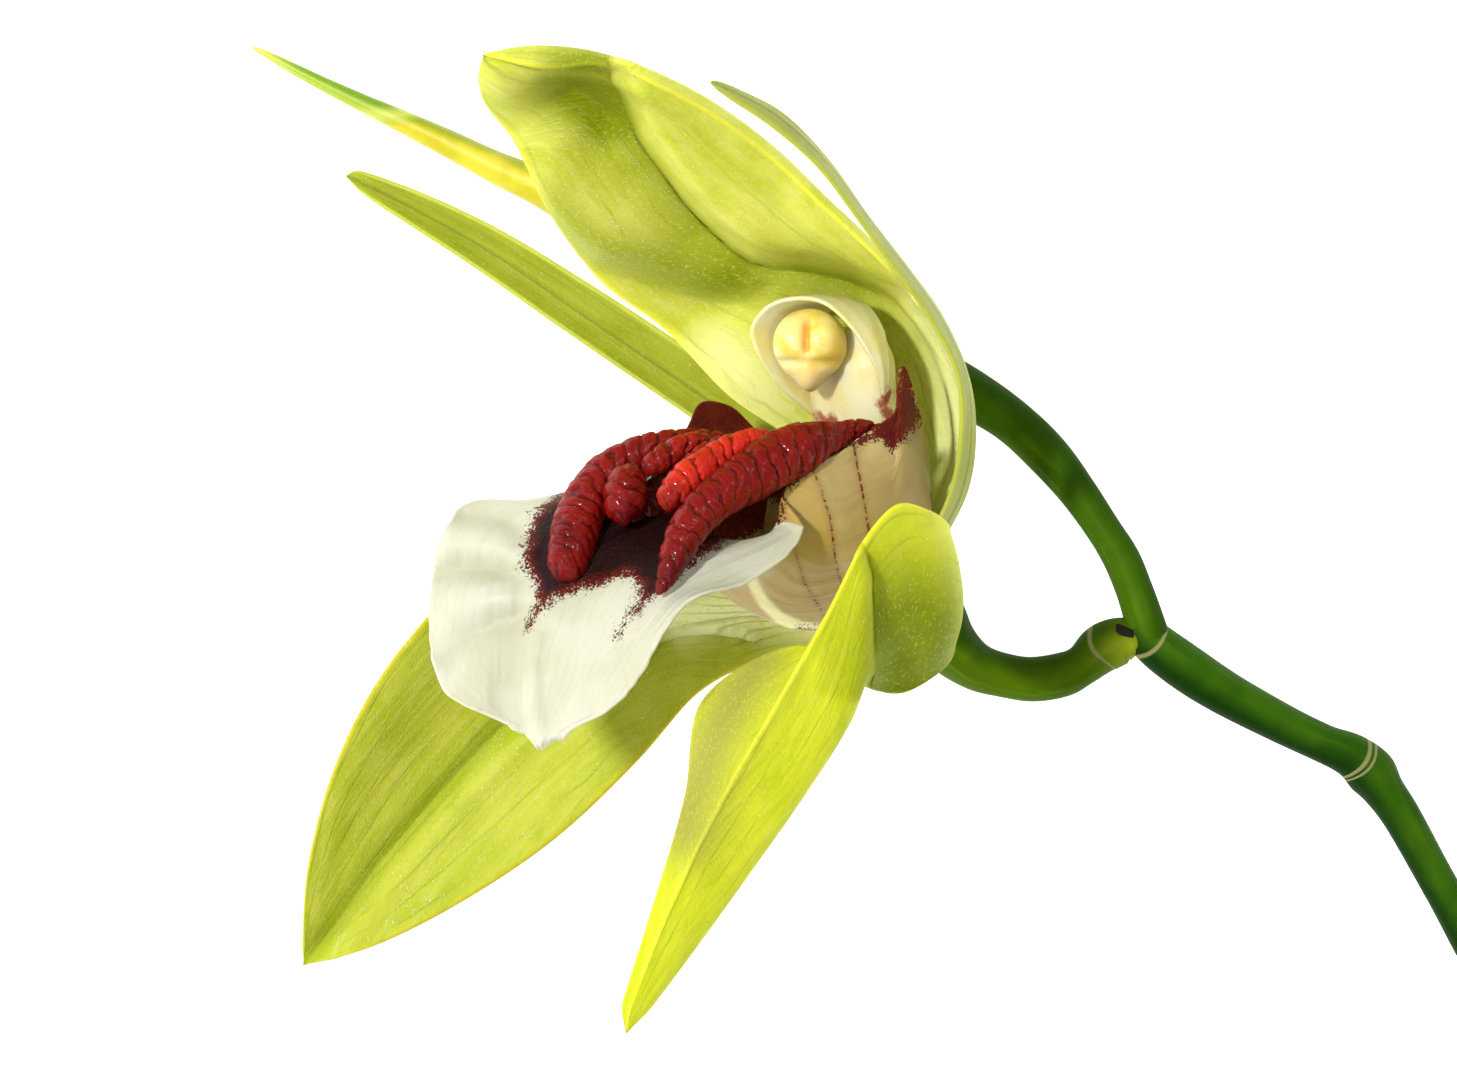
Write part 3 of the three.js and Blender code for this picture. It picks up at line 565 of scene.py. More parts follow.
sepalNear = {
    "thickMm": 0.6, "marginMm": 0.3, "keelMm": 0.3, "rows": 180, "columns": 90, "tipMm": 0.9,
    "folds": [
        # the turned-over base gets painted shade, darker downwards; a fold line with a little painted shade
        # parts it from the outer half
        {"width": 66, "fade": (0.5, 0.05), "green": 1.15,
         "line": [(917, 575), (915, 640), (905, 706)]},
        {"rise": 0.8, "dip": 0.6, "width": 7, "run": 26, "reach": 22, "fade": (0.2, 0.05), "green": 0.3,
         "line": [(862, 545), (868, 575), (869, 610), (870, 645), (872, 672), (868, 704)]},
        # the inner half gets a duller, darker tint, partly painted shade
        {"width": 36, "fade": (0.1, 0.15), "green": -1.0,
         "line": [(775, 640), (740, 690), (715, 740), (695, 800), (675, 860)]},
    ],
    "rails": [
        [[9.6, -1.2, 15.2], [11.1, -0.3, 19], [12, 0.7, 24.5], [11, 1.5, 28], [9.2, 1.8, 30.4],
         [7.5, 0, 32], [5.5, -3.9, 32.8], [2.8, -8.7, 32.8], [-0.2, -13.9, 31.8], [-3.2, -20, 29.6],
         [-5.7, -26.4, 26.6]],
        [[9.9, -1.7, 15.4], [11.9, -2.8, 18.6], [12.6, -3.3, 23.6], [11.9, -3.6, 27], [9.8, -4.4, 28.8],
         [7.9, -6.3, 29.8], [6.4, -9.9, 30], [3.8, -14, 29.4], [0.8, -18.3, 28.4], [-2.3, -22.6, 27],
         [-5.6, -27, 26]],
        [[9.9, -2.2, 15], [11.4, -5.4, 17.6], [12.3, -6, 22.4], [11.5, -7.2, 25.2], [9.4, -8.3, 26.2],
         [7.1, -7.8, 25.4], [3.9, -5.9, 24], [-1.3, -8.8, 23.8], [-2.3, -14, 24.2], [-4.2, -20.5, 25],
         [-6, -26.2, 25.4]],
    ],
}
petalFar = {
    "thickMm": 0.55, "marginMm": 0.28, "keelMm": 0.15, "rows": 130, "columns": 60, "tipMm": 0.7,
    "rails": [
        [[8.6, -0.4, 11.2], [6.2, 3.9, 9.6], [2, 7.5, 8.4], [-2.1, 10.4, 7.6], [-7.6, 14, 6.8],
         [-12.7, 17.1, 5.8], [-17.1, 19.2, 4.6], [-21, 20.62, 3.5]],
        [[8.7, -0.8, 10.9], [5.8, 2.7, 8.7], [1.7, 5.8, 7.2], [-2.5, 8.7, 6.3], [-8.4, 12.7, 5.4],
         [-13.4, 16.1, 4.5], [-17.7, 18.5, 3.7], [-21.2, 20.2, 3.2]],
        [[8.8, -1.2, 11.2], [5.5, 1.7, 9.6], [1.4, 4.5, 8], [-2.8, 7.4, 7], [-9.2, 11.8, 6.2],
         [-14.2, 15.3, 5.2], [-18.2, 17.9, 4.2], [-20.9, 19.7, 3.3]],
    ],
}
petalNear = {
    "thickMm": 0.55, "marginMm": 0.28, "rows": 150, "columns": 40, "tipMm": 0.7,
    "rails": [
        [[11.6, -0.3, 14.2], [13.1, 2.8, 16.2], [13.5, 6.1, 18.6], [13.1, 9, 20.4], [11.7, 12.2, 22.3],
         [9.7, 15, 24.2], [7.6, 17.7, 26.3], [5.3, 20.9, 28.6], [2.9, 23.3, 30.6], [0.6, 24.5, 32.4],
         [-1, 25.2, 33.8]],
        [[10.8, -0.4, 15.4], [12.2, 2.5, 18.4], [12.8, 5.9, 21.5], [12.6, 9.1, 23.6], [11.1, 12.1, 25.7],
         [9.2, 14.8, 27.5], [7.3, 17.4, 29.3], [4.9, 20.5, 31.2], [2.2, 22.8, 32.8], [0.2, 24.1, 33.8],
         [-0.9, 24.8, 34.4]],
    ],
}
addBlade("dorsalSepalBlade", dorsalSepal, hoodMaterial, "sepal", "dorsal_sepal")
addBlade("farSepalBlade", sepalFar, farSepalMaterial, "sepal", "sepal_far")
addBlade("nearSepalBlade", sepalNear, nearSepalMaterial, "sepal", "sepal_near")
addBlade("farPetalBlade", petalFar, petalMaterial, "petal", "petal_far")
addBlade("nearPetalBlade", petalNear, petalMaterial, "petal", "petal_near")
print("sepals and petals made")


# Lip

lip = {
    "thickMm": 0.55, "marginMm": 0.2, "rows": 260, "columns": 150, "thinTip": False, "taperMm": 3.0,
    "toothMm": 0.13, "seed": 11,
    # rows counted from the claw: where the side lobes' stain starts and where the front lobe starts
    "lobesFrom": 4.5, "discFrom": (8.6, 9.5),
    # rows across the lip, from its claw forward, each from the far margin to the near one
    "rowsAcross": [
        [[9, -1.1, 11.6], [8.8, -2.2, 11.9], [9, -3.1, 12.7], [9.8, -2.2, 13.4], [10, -1.1, 13.4]],
        [[5.6, 3.7, 9.7], [5.4, -1.9, 10.1], [7.7, -4.6, 13.6], [10.6, -1.9, 16.8], [11, 2.9, 17]],
        [[4.6, 4.8, 10.1], [4.1, -1.1, 10.5], [6.7, -4.7, 14.3], [10, -0.8, 18], [10.6, 6.5, 17.7]],
        [[3.6, 5.6, 10.6], [2.8, -0.3, 11], [5.6, -4.8, 15.1], [9, 0.3, 19.3], [9.55, 9.55, 18.9]],
        [[3, 5.75, 11], [2.2, -0.45, 11.5], [5, -4.75, 15.6], [8.5, 0.15, 19.8], [9.15, 7, 19.4]],
        [[2.4, 5.85, 11.4], [1.5, -0.6, 12], [4.4, -4.7, 16.1], [7.9, -0.05, 20.4], [8.3, 6.3, 19.9]],
        [[1.7, 5.9, 11.9], [0.7, -0.7, 12.6], [3.6, -4.6, 16.7], [7.1, -0.3, 21], [7.2, 5.5, 20.4]],
        [[0.1, 7.3, 12.5], [-0.2, -0.7, 13.5], [2.5, -4.2, 17.5], [6, -0.4, 21.6], [6.2, 4.8, 21.2]],
        [[-1.5, 7.5, 13.2], [-1.2, -0.6, 14.4], [1.4, -3.6, 18.3], [4.8, -0.5, 22.2], [4.9, 4.1, 22]],
        [[-2.6, 5.7, 14], [-3, 0.7, 16.3], [-0.3, -2.1, 19.6], [2.6, -0.9, 22.7], [3, 2.5, 22.8]],
        [[-5.6, 3.9, 15.6], [-3.8, 3, 17.6], [-2.1, 0.8, 20.6], [0.4, -0.3, 22.8], [4.1, 0.5, 24.4]],
        [[-11.2, 2.2, 16.6], [-7.6, 1.9, 19.4], [-4.9, 0, 22.4], [-2.1, -1.1, 25], [1.2, -1.9, 27.4]],
        [[-14.9, 1.3, 17.8], [-10.9, 0, 20.8], [-7.1, -1.9, 23.6], [-4.3, -3.3, 26.4], [-1.7, -3.4, 29.2]],
        [[-16.6, -3.3, 19.6], [-13.1, -3.3, 21.8], [-9, -5.5, 24.6], [-6.2, -6.3, 27.4], [-4.4, -6.7, 30.2]],
        [[-15.7, -8.1, 22], [-12.5, -7.4, 23.4], [-9.8, -8.5, 25.6], [-7.9, -8.9, 27.8], [-6.9, -9.2, 29.8]],
        [[-11.4, -10.4, 25.2], [-11, -10.7, 25.6], [-10.3, -11.2, 26.4], [-9.6, -10.9, 27], [-9, -10.7, 27.4]],
    ],
    "waveMm": 0.45,
    "folds": [
        {"rise": 0.4, "width": 9, "fade": (0.1, 0.3),
         "line": [(541, 742), (534, 690), (532, 660), (540, 630), (560, 600)]},
        # soft folds that run out from the disc to the left margin; the sunken ones carry painted shade
        {"rise": 0.9, "width": 16, "fade": (0.15, 0.3),
         "line": [(438, 545), (465, 540), (495, 545), (525, 560)]},
        {"rise": -0.8, "width": 14, "fade": (0.15, 0.3), "green": 0.5,
         "line": [(430, 578), (460, 572), (490, 572), (522, 578)]},
        {"rise": 0.6, "width": 15, "fade": (0.15, 0.3),
         "line": [(428, 615), (460, 602), (495, 595), (520, 595)]},
        {"rise": -0.7, "width": 16, "fade": (0.15, 0.3), "green": 0.4,
         "line": [(440, 665), (470, 640), (505, 622), (530, 612)]},
        {"rise": -0.7, "width": 13, "fade": (0.15, 0.3), "green": 0.4,
         "line": [(455, 520), (490, 522), (525, 532)]},
        {"rise": -0.6, "width": 20, "fade": (0.15, 0.3), "green": 0.3,
         "line": [(505, 725), (508, 690), (515, 655), (530, 625)]},
    ],
    # the dark patch on the disc, and its two streaks
    "patch": [
        (560, 495), (534, 518), (524, 560), (534, 582), (541, 600), (530, 630), (552, 604), (575, 594),
        (602, 588), (630, 578), (642, 590), (640, 606), (618, 640), (650, 606), (672, 586), (700, 563),
        (735, 540), (765, 526), (782, 522), (780, 505), (786, 492), (800, 478), (800, 440), (700, 430),
        (600, 450),
    ],
    # the pale rim along the bottom of the near side lobe, and its dark red end
    "rimLine": [(750, 568), (757, 586), (766, 600), (780, 613), (800, 622), (826, 626)],
    # near the column side the white starts below this line
    "whiteFrom": [(600, 521), (782, 521), (812, 530)],
    "rimPixels": 7, "rimDark": [(800, 624), (815, 626), (832, 626)],
    # the red edge of the near side lobe, around its spike
    "spikeRed": [
        (903, 335), (895, 385), (884, 414), (866, 430), (845, 440), (852, 447), (868, 441), (880, 442),
        (890, 450), (902, 442), (912, 430), (922, 420), (914, 395),
    ],
    "nerveLines": [
        [(810, 462), (820, 490), (828, 520), (833, 555), (842, 590)],
        [(783, 505), (792, 545), (804, 580), (824, 612)],
        [(850, 430), (858, 480), (866, 530)],
    ],
}


def raggedMargin(grid, s, t):
    # small uneven teeth along the front lobe's margin
    random = np.random.default_rng(lip["seed"])
    rows, columns = s.shape
    marks = np.arange(0, rows + 2, 2)
    draws = random.uniform(-1, 1, rows // 2 + 2)[:len(marks)]
    sides = np.interp(np.arange(rows), marks, draws)
    coarse = np.interp(np.arange(rows), np.linspace(0, rows, 24), random.uniform(-1, 1, 24))
    teeth = (0.6 * sides + coarse)[:, None] * np.abs(2 * t - 1) ** 10 * smooth(s, 0.6, 0.7)
    outward = unit(np.gradient(grid, axis=1))
    grid = grid + outward * (np.sign(t - 0.5) * teeth * lip["toothMm"])[..., None]
    across = np.interp(np.arange(columns), np.linspace(0, columns, 70), random.uniform(-1, 1, 70))
    onward = unit(np.gradient(grid, axis=0))
    return grid + onward * (across[None] * smooth(s, 0.96, 1.0) * lip["toothMm"])[..., None]


def lipFields(grid, s, t):
    places = pixelsOf(grid)
    perMm = photo["pixelsPerMm"]
    # rows are bunched about the spike, so the parts are told apart by how far forward they lie
    forward = s * (len(lip["rowsAcross"]) - 1)
    onDisc = smooth(forward, lip["discFrom"][0], lip["discFrom"][1])
    below = smooth(besideLine(places, lip["whiteFrom"])[0], -1.5, 1.5)
    onDisc = np.where((t > 0.55) & (forward < 10.6), onDisc * below, onDisc)
    patch = insideOf(places, lip["patch"]) / perMm - 6 * (forward < lip["lobesFrom"])
    _, across, _ = distancesOf(grid)
    nearTop = insideOf(places, lip["spikeRed"]) / perMm
    lobes = np.where(t > 0.5, nearTop, 3.6 - across) - 6 * onDisc
    stain = np.maximum(patch, lobes)
    stain = np.maximum(stain, 0.12 - np.abs(besideLine(places, lip["rimDark"])[0]) / perMm - 6 * onDisc)
    lines = [np.abs(besideLine(places, line)[0]) / perMm for line in lip["nerveLines"]]
    nerve = np.minimum.reduce(lines) + 5 * onDisc + 5 * (t < 0.5)
    rim = 1 - smooth(np.abs(besideLine(places, lip["rimLine"])[0]), lip["rimPixels"] * 0.5, lip["rimPixels"])
    # the lobe's front part, left of its first nerve, is tan
    beside, _ = besideLine(places, lip["nerveLines"][0])
    tan = smooth(beside, -6, 6) * (t > 0.5)
    return {
        "stain": np.clip(stain, -4, 4), "nerveMm": np.clip(nerve, 0, 4), "disc": onDisc,
        "lobePaint": np.stack([rim, tan, np.clip(lipPaintedShade, 0, 1)], -1),
    }


def lipMaterial(look):
    material, tree, shader = newMaterial("lipIvory", look)
    t = splitOf(field(tree, "blade", "Vector"))[1]
    where = millimetres(tree)
    stain = field(tree, "stain")
    nerve = field(tree, "nerveMm")
    disc = field(tree, "disc")
    rim, tan, shade = splitOf(field(tree, "lobePaint", "Vector"))
    cloud = noiseOf(where, 0.25, 3.0, 0.55)
    white = blend(between(cloud, 0.4, 0.65), look["white"], look["cream"])
    # painted shade in the sunken folds of the front lobe
    white = blend(shade, white, look["shade"])
    lobe = blend(between(cloud, 0.35, 0.65), look["lobe"], look["lobeWarm"])
    lobe = blend(tan * 0.8, lobe, look["lobeTan"])
    lobe = blend(rim, lobe, look["lobeRim"])
    colour = blend(disc, lobe, white)
    # veins that fan out through the front lobe
    fan = t * 22.0 + noiseOf(where, 0.3) * 2.2
    vein = between(abs(fan.calc("FRACT") - 0.5), 0.02, 0.14, 1.0, 0.0)
    colour = blend(vein * disc * between(cloud, 0.4, 0.6, 0.1, 0.45), colour, look["vein"])
    # the side lobes' nerves carry rows of red-brown dots
    dots = between(noiseOf(where, 4.5, 3.0, 0.6), 0.4, 0.56)
    colour = blend(between(nerve, 0.05, 0.4, 0.3, 0.0), colour, look["lobeDeep"])
    colour = blend(between(nerve, 0.03, 0.11, 1.0, 0.0) * dots, colour, look["stainRed"])
    # stain with an edge that breaks up into specks
    broken = noiseOf(where, 1.3, 3.0, 0.6) * 2.4 - 1.2
    powder = noiseOf(where, 7.0, 3.0, 0.6) * 3.4 - 1.7
    inside = between(stain + broken * 0.5 + powder * 0.6, -0.1, 0.16)
    deep = between(stain + broken * 0.4, 0.05, 0.8) * between(disc, 0.1, 0.7, 0.25, 1.0)
    dark = blend(deep, look["stainRed"], look["stainBlack"])
    dark = blend(between(cloud, 0.42, 0.6, 0.0, 0.8 - disc), dark, look["lobeRed"])
    colour = blend(inside, colour, dark)
    plug(between(inside, 0.0, 1.0, look["shine"], 0.15), shader.inputs["Specular IOR Level"])
    velvet = noiseOf(where, 7.0, 2.0, 0.6) * inside
    along = vectorCalc("MULTIPLY", field(tree, "reachMm", "Vector"), (0.1, 1.0, 0.0))
    layers = [(noiseOf(where, 8.0), 0.02), (velvet, 0.12), (noiseOf(along, 0.8), 0.25)]
    finishMaterial(shader, colour, layers)
    return material


lipLook = {
    "roughness": 0.5, "shine": 0.35, "glow": 0.45, "glowMm": 0.35, "glowColour": (1.0, 0.95, 0.75),
    "white": (0.55, 0.545, 0.43), "cream": (0.50, 0.50, 0.36), "vein": (0.43, 0.45, 0.28),
    "lobe": (0.46, 0.35, 0.14), "lobeWarm": (0.38, 0.27, 0.09), "lobeDeep": (0.28, 0.15, 0.03),
    "shade": (0.36, 0.37, 0.22), "lobeTan": (0.42, 0.28, 0.06), "lobeRim": (0.80, 0.74, 0.34),
    "lobeRed": (0.17, 0.018, 0.003), "stainRed": (0.12, 0.006, 0.002), "stainBlack": (0.014, 0.002, 0.002),
}
lipRails = [[row[k] for row in lip["rowsAcross"]] for k in range(5)]
lipGrid = netThrough(lipRails, lip["rows"], lip["columns"])
lipS, lipT = np.meshgrid(*(np.linspace(0, 1, lip[way] + 1) for way in ("rows", "columns")), indexing="ij")
wave = lip["waveMm"] * np.abs(2 * lipT - 1) ** 3 * np.sin(lipS * 34 + lipT * 5) * bump(lipS, 0.85, 0.2)
lipGrid = lipGrid + normalsOf(lipGrid) * wave[..., None]
lipGrid, lipPaintedShade = foldBlade(lipGrid, lip["folds"])
lipGrid = raggedMargin(lipGrid, lipS, lipT)
lipMesh = bladeMesh("lipBlade", lipGrid, lip, lipFields(lipGrid, lipS, lipT))
addPiece("lipBlade", lipMesh, lipMaterial(lipLook), "lip", "lip")
print("lip made")


# Stalks, bud and keels: a ring follows a path, with flutes, lumps and wrinkles

def named(tree, name, kind="FLOAT"):
    return addNode(tree, "GeometryNodeInputNamedAttribute", {"Name": name}, data_type=kind)


def stored(geometry, name, value, kind):
    inputs = {"Geometry": geometry, "Name": name, "Value": value}
    return addNode(geometry.tree, "GeometryNodeStoreNamedAttribute", inputs, data_type=kind, domain="POINT")


def stalkTree():
    tree = bpy.data.node_groups.new("ringAlongPath", "GeometryNodeTree")
    face = tree.interface
    inlets = {
        "Path": ("Geometry", None), "Sides": ("Int", 32),
        "Seams": ("Float", 0.0), "Seam Depth": ("Float", 0.0),
        "Lump Size": ("Float", 0.003), "Lump Depth": ("Float", 0.0),
        "Wrinkle Pitch": ("Float", 0.001), "Wrinkle Depth": ("Float", 0.0), "Fine Depth": ("Float", 0.0),
        "Seed": ("Float", 0.0), "Material": ("Material", None),
    }
    for label, (kind, value) in inlets.items():
        socket = face.new_socket(name=label, in_out="INPUT", socket_type="NodeSocket" + kind)
        if value is not None:
            socket.default_value = value
    face.new_socket(name="Body", in_out="OUTPUT", socket_type="NodeSocketGeometry")
    outputs = tree.nodes.new("NodeGroupInput").outputs
    given = {label: Value(tree, outputs[label]) for label in inlets}
    curve = addNode(tree, "GeometryNodeMeshToCurve", {0: given["Path"]})
    ring = addNode(tree, "GeometryNodeCurvePrimitiveCircle", {"Resolution": given["Sides"], "Radius": 1.0})
    position = addNode(tree, "GeometryNodeInputPosition")
    ring = stored(ring, "around", position, "FLOAT_VECTOR")
    body = addNode(tree, "GeometryNodeCurveToMesh", {
        "Curve": curve, "Profile Curve": ring, "Scale": named(tree, "radius0"), "Fill Caps": True,
    })
    x, y, _ = splitOf(named(tree, "around", "FLOAT_VECTOR"))
    seam = (y.calc("ARCTAN2", x) * given["Seams"]).calc("COSINE")
    seam = seam.calc("MAXIMUM", 0.0).calc("POWER", 6.0) * (given["Seam Depth"] * -1.0)
    shifted = vectorCalc("ADD", position, joinOf(tree, {2: given["Seed"]}))
    lump = (noiseOf(shifted, 1.0 / given["Lump Size"]) - 0.5) * given["Lump Depth"]
    # wrinkles run across the path, bowed and broken up, with finer ones between them
    turns = named(tree, "alongMm") * 0.001 / given["Wrinkle Pitch"]
    turns = noiseOf(shifted, 500.0, 3.0, 0.6) * 2.2 + turns
    turns = x * 0.35 + turns
    creaseAndPaintedShade = between(abs(turns.calc("FRACT") - 0.5), 0.26, 0.5).calc("POWER", 1.5)
    creaseAndPaintedShade = creaseAndPaintedShade * between(noiseOf(shifted, 600.0), 0.35, 0.55, 0.55, 1.0)
    fine = between(abs((turns * 2.7).calc("FRACT") - 0.5), 0.15, 0.5)
    fine = fine * between(noiseOf(shifted, 800.0), 0.45, 0.6, 0.1, 1.0) * given["Fine Depth"]
    depth = (creaseAndPaintedShade * given["Wrinkle Depth"] + fine) * -1.0
    height = (seam + lump + depth) * named(tree, "fade")
    outward = addNode(tree, "GeometryNodeInputNormal")
    lift = addNode(tree, "ShaderNodeVectorMath", {0: outward, "Scale": height}, operation="SCALE")
    # the crease mask is kept for the keels' painted shade
    body = stored(body, "creaseAndPaintedShade", creaseAndPaintedShade, "FLOAT")
    body = addNode(tree, "GeometryNodeSetPosition", {"Geometry": body, "Offset": lift})
    # nothing goes below the table
    px, py, pz = splitOf(position)
    raised = joinOf(tree, {0: px, 1: py, 2: pz.calc("MAXIMUM", 0.0)})
    body = addNode(tree, "GeometryNodeSetPosition", {"Geometry": body, "Position": raised})
    body = addNode(tree, "GeometryNodeSetShadeSmooth", {"Geometry": body})
    body = addNode(tree, "GeometryNodeRealizeInstances", {"Geometry": body})
    body = addNode(tree, "GeometryNodeSetMaterial", {"Geometry": body, "Material": given["Material"]})
    plug(body, tree.nodes.new("NodeGroupOutput").inputs[0])
    return tree


ringAlongPath = stalkTree()


def pathMesh(name, stations, stepMm, endMm):
    # a fine polyline through stations of x, y, z and radius, with rounded ends
    stations = np.asarray(stations, float)
    dense = curveThrough(stations[:, :3], np.linspace(0, 1, 2000))
    order = np.arange(len(stations)) * 1.0
    coarse = curveThrough(np.stack([order, stations[:, 3]], -1), np.linspace(0, 1, 400))[:, 1]
    radii = np.interp(np.linspace(0, 1, 2000), np.linspace(0, 1, 400), coarse)
    run = np.concatenate([[0], np.cumsum(np.linalg.norm(np.diff(dense, axis=0), axis=-1))])
    marks = np.linspace(0, run[-1], max(8, int(run[-1] / stepMm)))
    points = np.stack([np.interp(marks, run, dense[:, k]) for k in range(3)], -1)
    radius = np.interp(marks, run, radii) / 1000
    for fromEnd in (marks, run[-1] - marks):
        radius = radius * np.sqrt(np.clip(1 - (1 - np.minimum(fromEnd / endMm, 1)) ** 2, 0.01, 1))
    mesh = bpy.data.meshes.new(name)
    edges = [(k, k + 1) for k in range(len(points) - 1)]
    mesh.from_pydata(((points - stemMiddle) / 1000).tolist(), edges, [])
    setField(mesh, "radius0", radius)
    setField(mesh, "alongMm", marks)
    setField(mesh, "share", marks / run[-1])
    setField(mesh, "fade", smooth(np.minimum(marks, run[-1] - marks), 0, 0.6))
    return mesh


def meshAlong(name, stations, inputs, stepMm=0.25, endMm=0.3):
    host = bpy.data.objects.new(name + "Path", pathMesh(name + "Path", stations, stepMm, endMm))
    bpy.context.scene.collection.objects.link(host)
    modifier = host.modifiers.new("ring", "NODES")
    modifier.node_group = ringAlongPath
    for item in ringAlongPath.interface.items_tree:
        if item.in_out == "INPUT" and item.name in inputs:
            modifier[item.identifier] = inputs[item.name]
    bpy.context.view_layer.update()
    depsgraph = bpy.context.evaluated_depsgraph_get()
    mesh = bpy.data.meshes.new_from_object(host.evaluated_get(depsgraph), preserve_all_data_layers=True,
                                           depsgraph=depsgraph)
    mesh.name = name
    bpy.data.objects.remove(host)
    return mesh


def stalkMaterial(name, look):
    material, tree, shader = newMaterial(name, look)
    along = field(tree, "alongMm")
    side = field(tree, "side")
    where = millimetres(tree)
    cloud = noiseOf(where, 0.18, 3.0, 0.6)
    colour = blend(between(cloud, 0.38, 0.66), look["body"], look["deep"])
    combed = vectorCalc("ADD", joinOf(tree, {0: along * 0.12}),
                        vectorCalc("MULTIPLY", field(tree, "around", "Vector"), (0.0, 2.5, 2.5)))
    streak = noiseOf(combed, 1.6, 3.0, 0.6)
    colour = blend(between(streak, 0.5, 0.72, 0.0, 0.5), colour, look["light"])
    colour = blend(between(field(tree, "share"), look["startTo"], 0.0, 0.0, 0.85), colour, look["start"])
    # one side gets painted shade; each scar bends with the roundness of the stalk
    colour = blend(between(cloud * 0.8 + side, 0.1, 1.1, 0.0, look["paintedSideShade"]), colour, look["shade"])
    # painted shadow, nearly black, in the fork where the stalks part
    colour = blend(between(field(tree, "paintedCrookShade") + cloud * 0.3, 0.5, 0.75), colour, look["paintedCrookShade"])
    bulge = (1.0 - side * side) * 0.35
    for place, breadth in look["scars"]:
        off = abs(along - bulge - place)
        colour = blend(between(off, breadth * 0.4, breadth, 0.8, 0.0), colour, look["scar"])
    finishMaterial(shader, colour, [(noiseOf(where, 5.0, 2.0, 0.6), 0.02), (streak, 0.08)])
    return material


stalkColours = {
    "roughness": 0.5, "shine": 0.035, "glow": 0.08, "glowMm": 0.6, "glowColour": (0.4, 1.0, 0.1),
    "body": (0.050, 0.115, 0.001), "deep": (0.028, 0.075, 0.001), "light": (0.085, 0.17, 0.004),
    "start": (0.06, 0.12, 0.002), "startTo": 0.02, "scar": (0.26, 0.24, 0.10), "scars": [],
    "paintedCrookShade": (0.012, 0.012, 0.008), "shade": (0.018, 0.060, 0.0005), "paintedSideShade": 0.8,
}
rachis = {
    "inputs": {"Sides": 40, "Lump Size": 0.006, "Lump Depth": 0.00012},
    "stations": [
        [22.5, -4.4, 9.1, 0.95], [23.3, -5.5, 8.9, 1.2], [24.8, -6.7, 8.7, 1.3], [27.2, -8.3, 8.1, 1.26],
        [30.5, -10.1, 7.3, 1.12], [33, -11.3, 6.7, 1.06], [34.6, -12, 6.4, 1.24], [35.6, -12.9, 6.2, 1.4],
        [36.3, -13.9, 6, 1.16], [37.2, -15.2, 5.8, 1.08],
        [39.4, -19.1, 5.3, 1.02], [41.6, -23, 4.8, 1.1], [43, -25, 4.5, 1.25], [45.2, -26.2, 4.2, 1.2],
        [50, -28.6, 3.6, 1.15], [54.2, -30.6, 3.1, 1.25], [55.7, -32.2, 2.9, 1.3], [57.5, -36.5, 2.6, 1.2],
        [60.6, -43, 2.2, 1.3], [62.3, -45, 2.1, 1.4], [68, -49.2, 1.9, 1.4], [80, -57.5, 1.6, 1.45],
        [97, -68, 1.55, 1.5],
    ],
}
budOvary = {
    "inputs": {"Sides": 40, "Seams": 3.0, "Seam Depth": 0.00008, "Lump Size": 0.005, "Lump Depth": 0.0001},
    "stations": [
        [23.7, -6.1, 8.9, 1], [23.1, -4.6, 9.1, 1.12], [22.5, -2.8, 9, 1.06], [21.8, -1.1, 8.8, 1.05],
        [20.7, 0.7, 8.4, 1], [19.4, 2.6, 8, 1.08], [17.7, 4.7, 7.6, 1.24], [15.7, 6.6, 7.2, 1.27],
        [13.6, 8, 6.8, 1.38], [12, 8.9, 6.2, 1.45],
    ],
}
flowerOvary = {
    "inputs": {"Sides": 40, "Seams": 3.0, "Seam Depth": 0.00012, "Lump Size": 0.004, "Lump Depth": 0.00016},
    "stations": [
        [23, -5.9, 8.9, 0.9], [22.2, -5.5, 8.8, 1.25], [20.8, -5.9, 8.6, 1.38], [19.6, -6.9, 8.4, 1.15],
        [18.6, -7.4, 8.2, 1.24], [16.8, -7.7, 8.2, 1.24],
        [15.3, -7.5, 8.5, 1.24], [13.7, -7, 9.1, 1.35], [12.2, -5.8, 10.1, 1.65], [11.2, -4.2, 11.1, 1.9],
        [10.6, -2.8, 11.8, 1.8], [10.2, -1.9, 12.2, 1.2],
    ],
}
# painted shadow in the gap where the stalks part, and half the width of a stalk for the painted side shade, in
# photo pixels
paintedCrookShade = {"at": [(1119, 629), (1124, 631), (1129, 633)], "pixels": 7, "halfWidth": 22}


def stalkMesh(name, look):
    # marks the painted shadow in the fork between the flower's stalk and the bud's, and the side that gets
    # painted shade
    mesh = meshAlong(name, look["stations"], look["inputs"])
    pixels = pixelsOf(pointsOf(mesh))
    away = np.abs(besideLine(pixels, paintedCrookShade["at"])[0])
    setField(mesh, "paintedCrookShade", 1 - smooth(away, paintedCrookShade["pixels"] * 0.5, paintedCrookShade["pixels"]))
    beside = besideLine(pixels, pixelsOf(np.array(look["stations"])[:, :3]))[0]
    setField(mesh, "side", np.clip(beside / paintedCrookShade["halfWidth"], -1, 1))
    return mesh


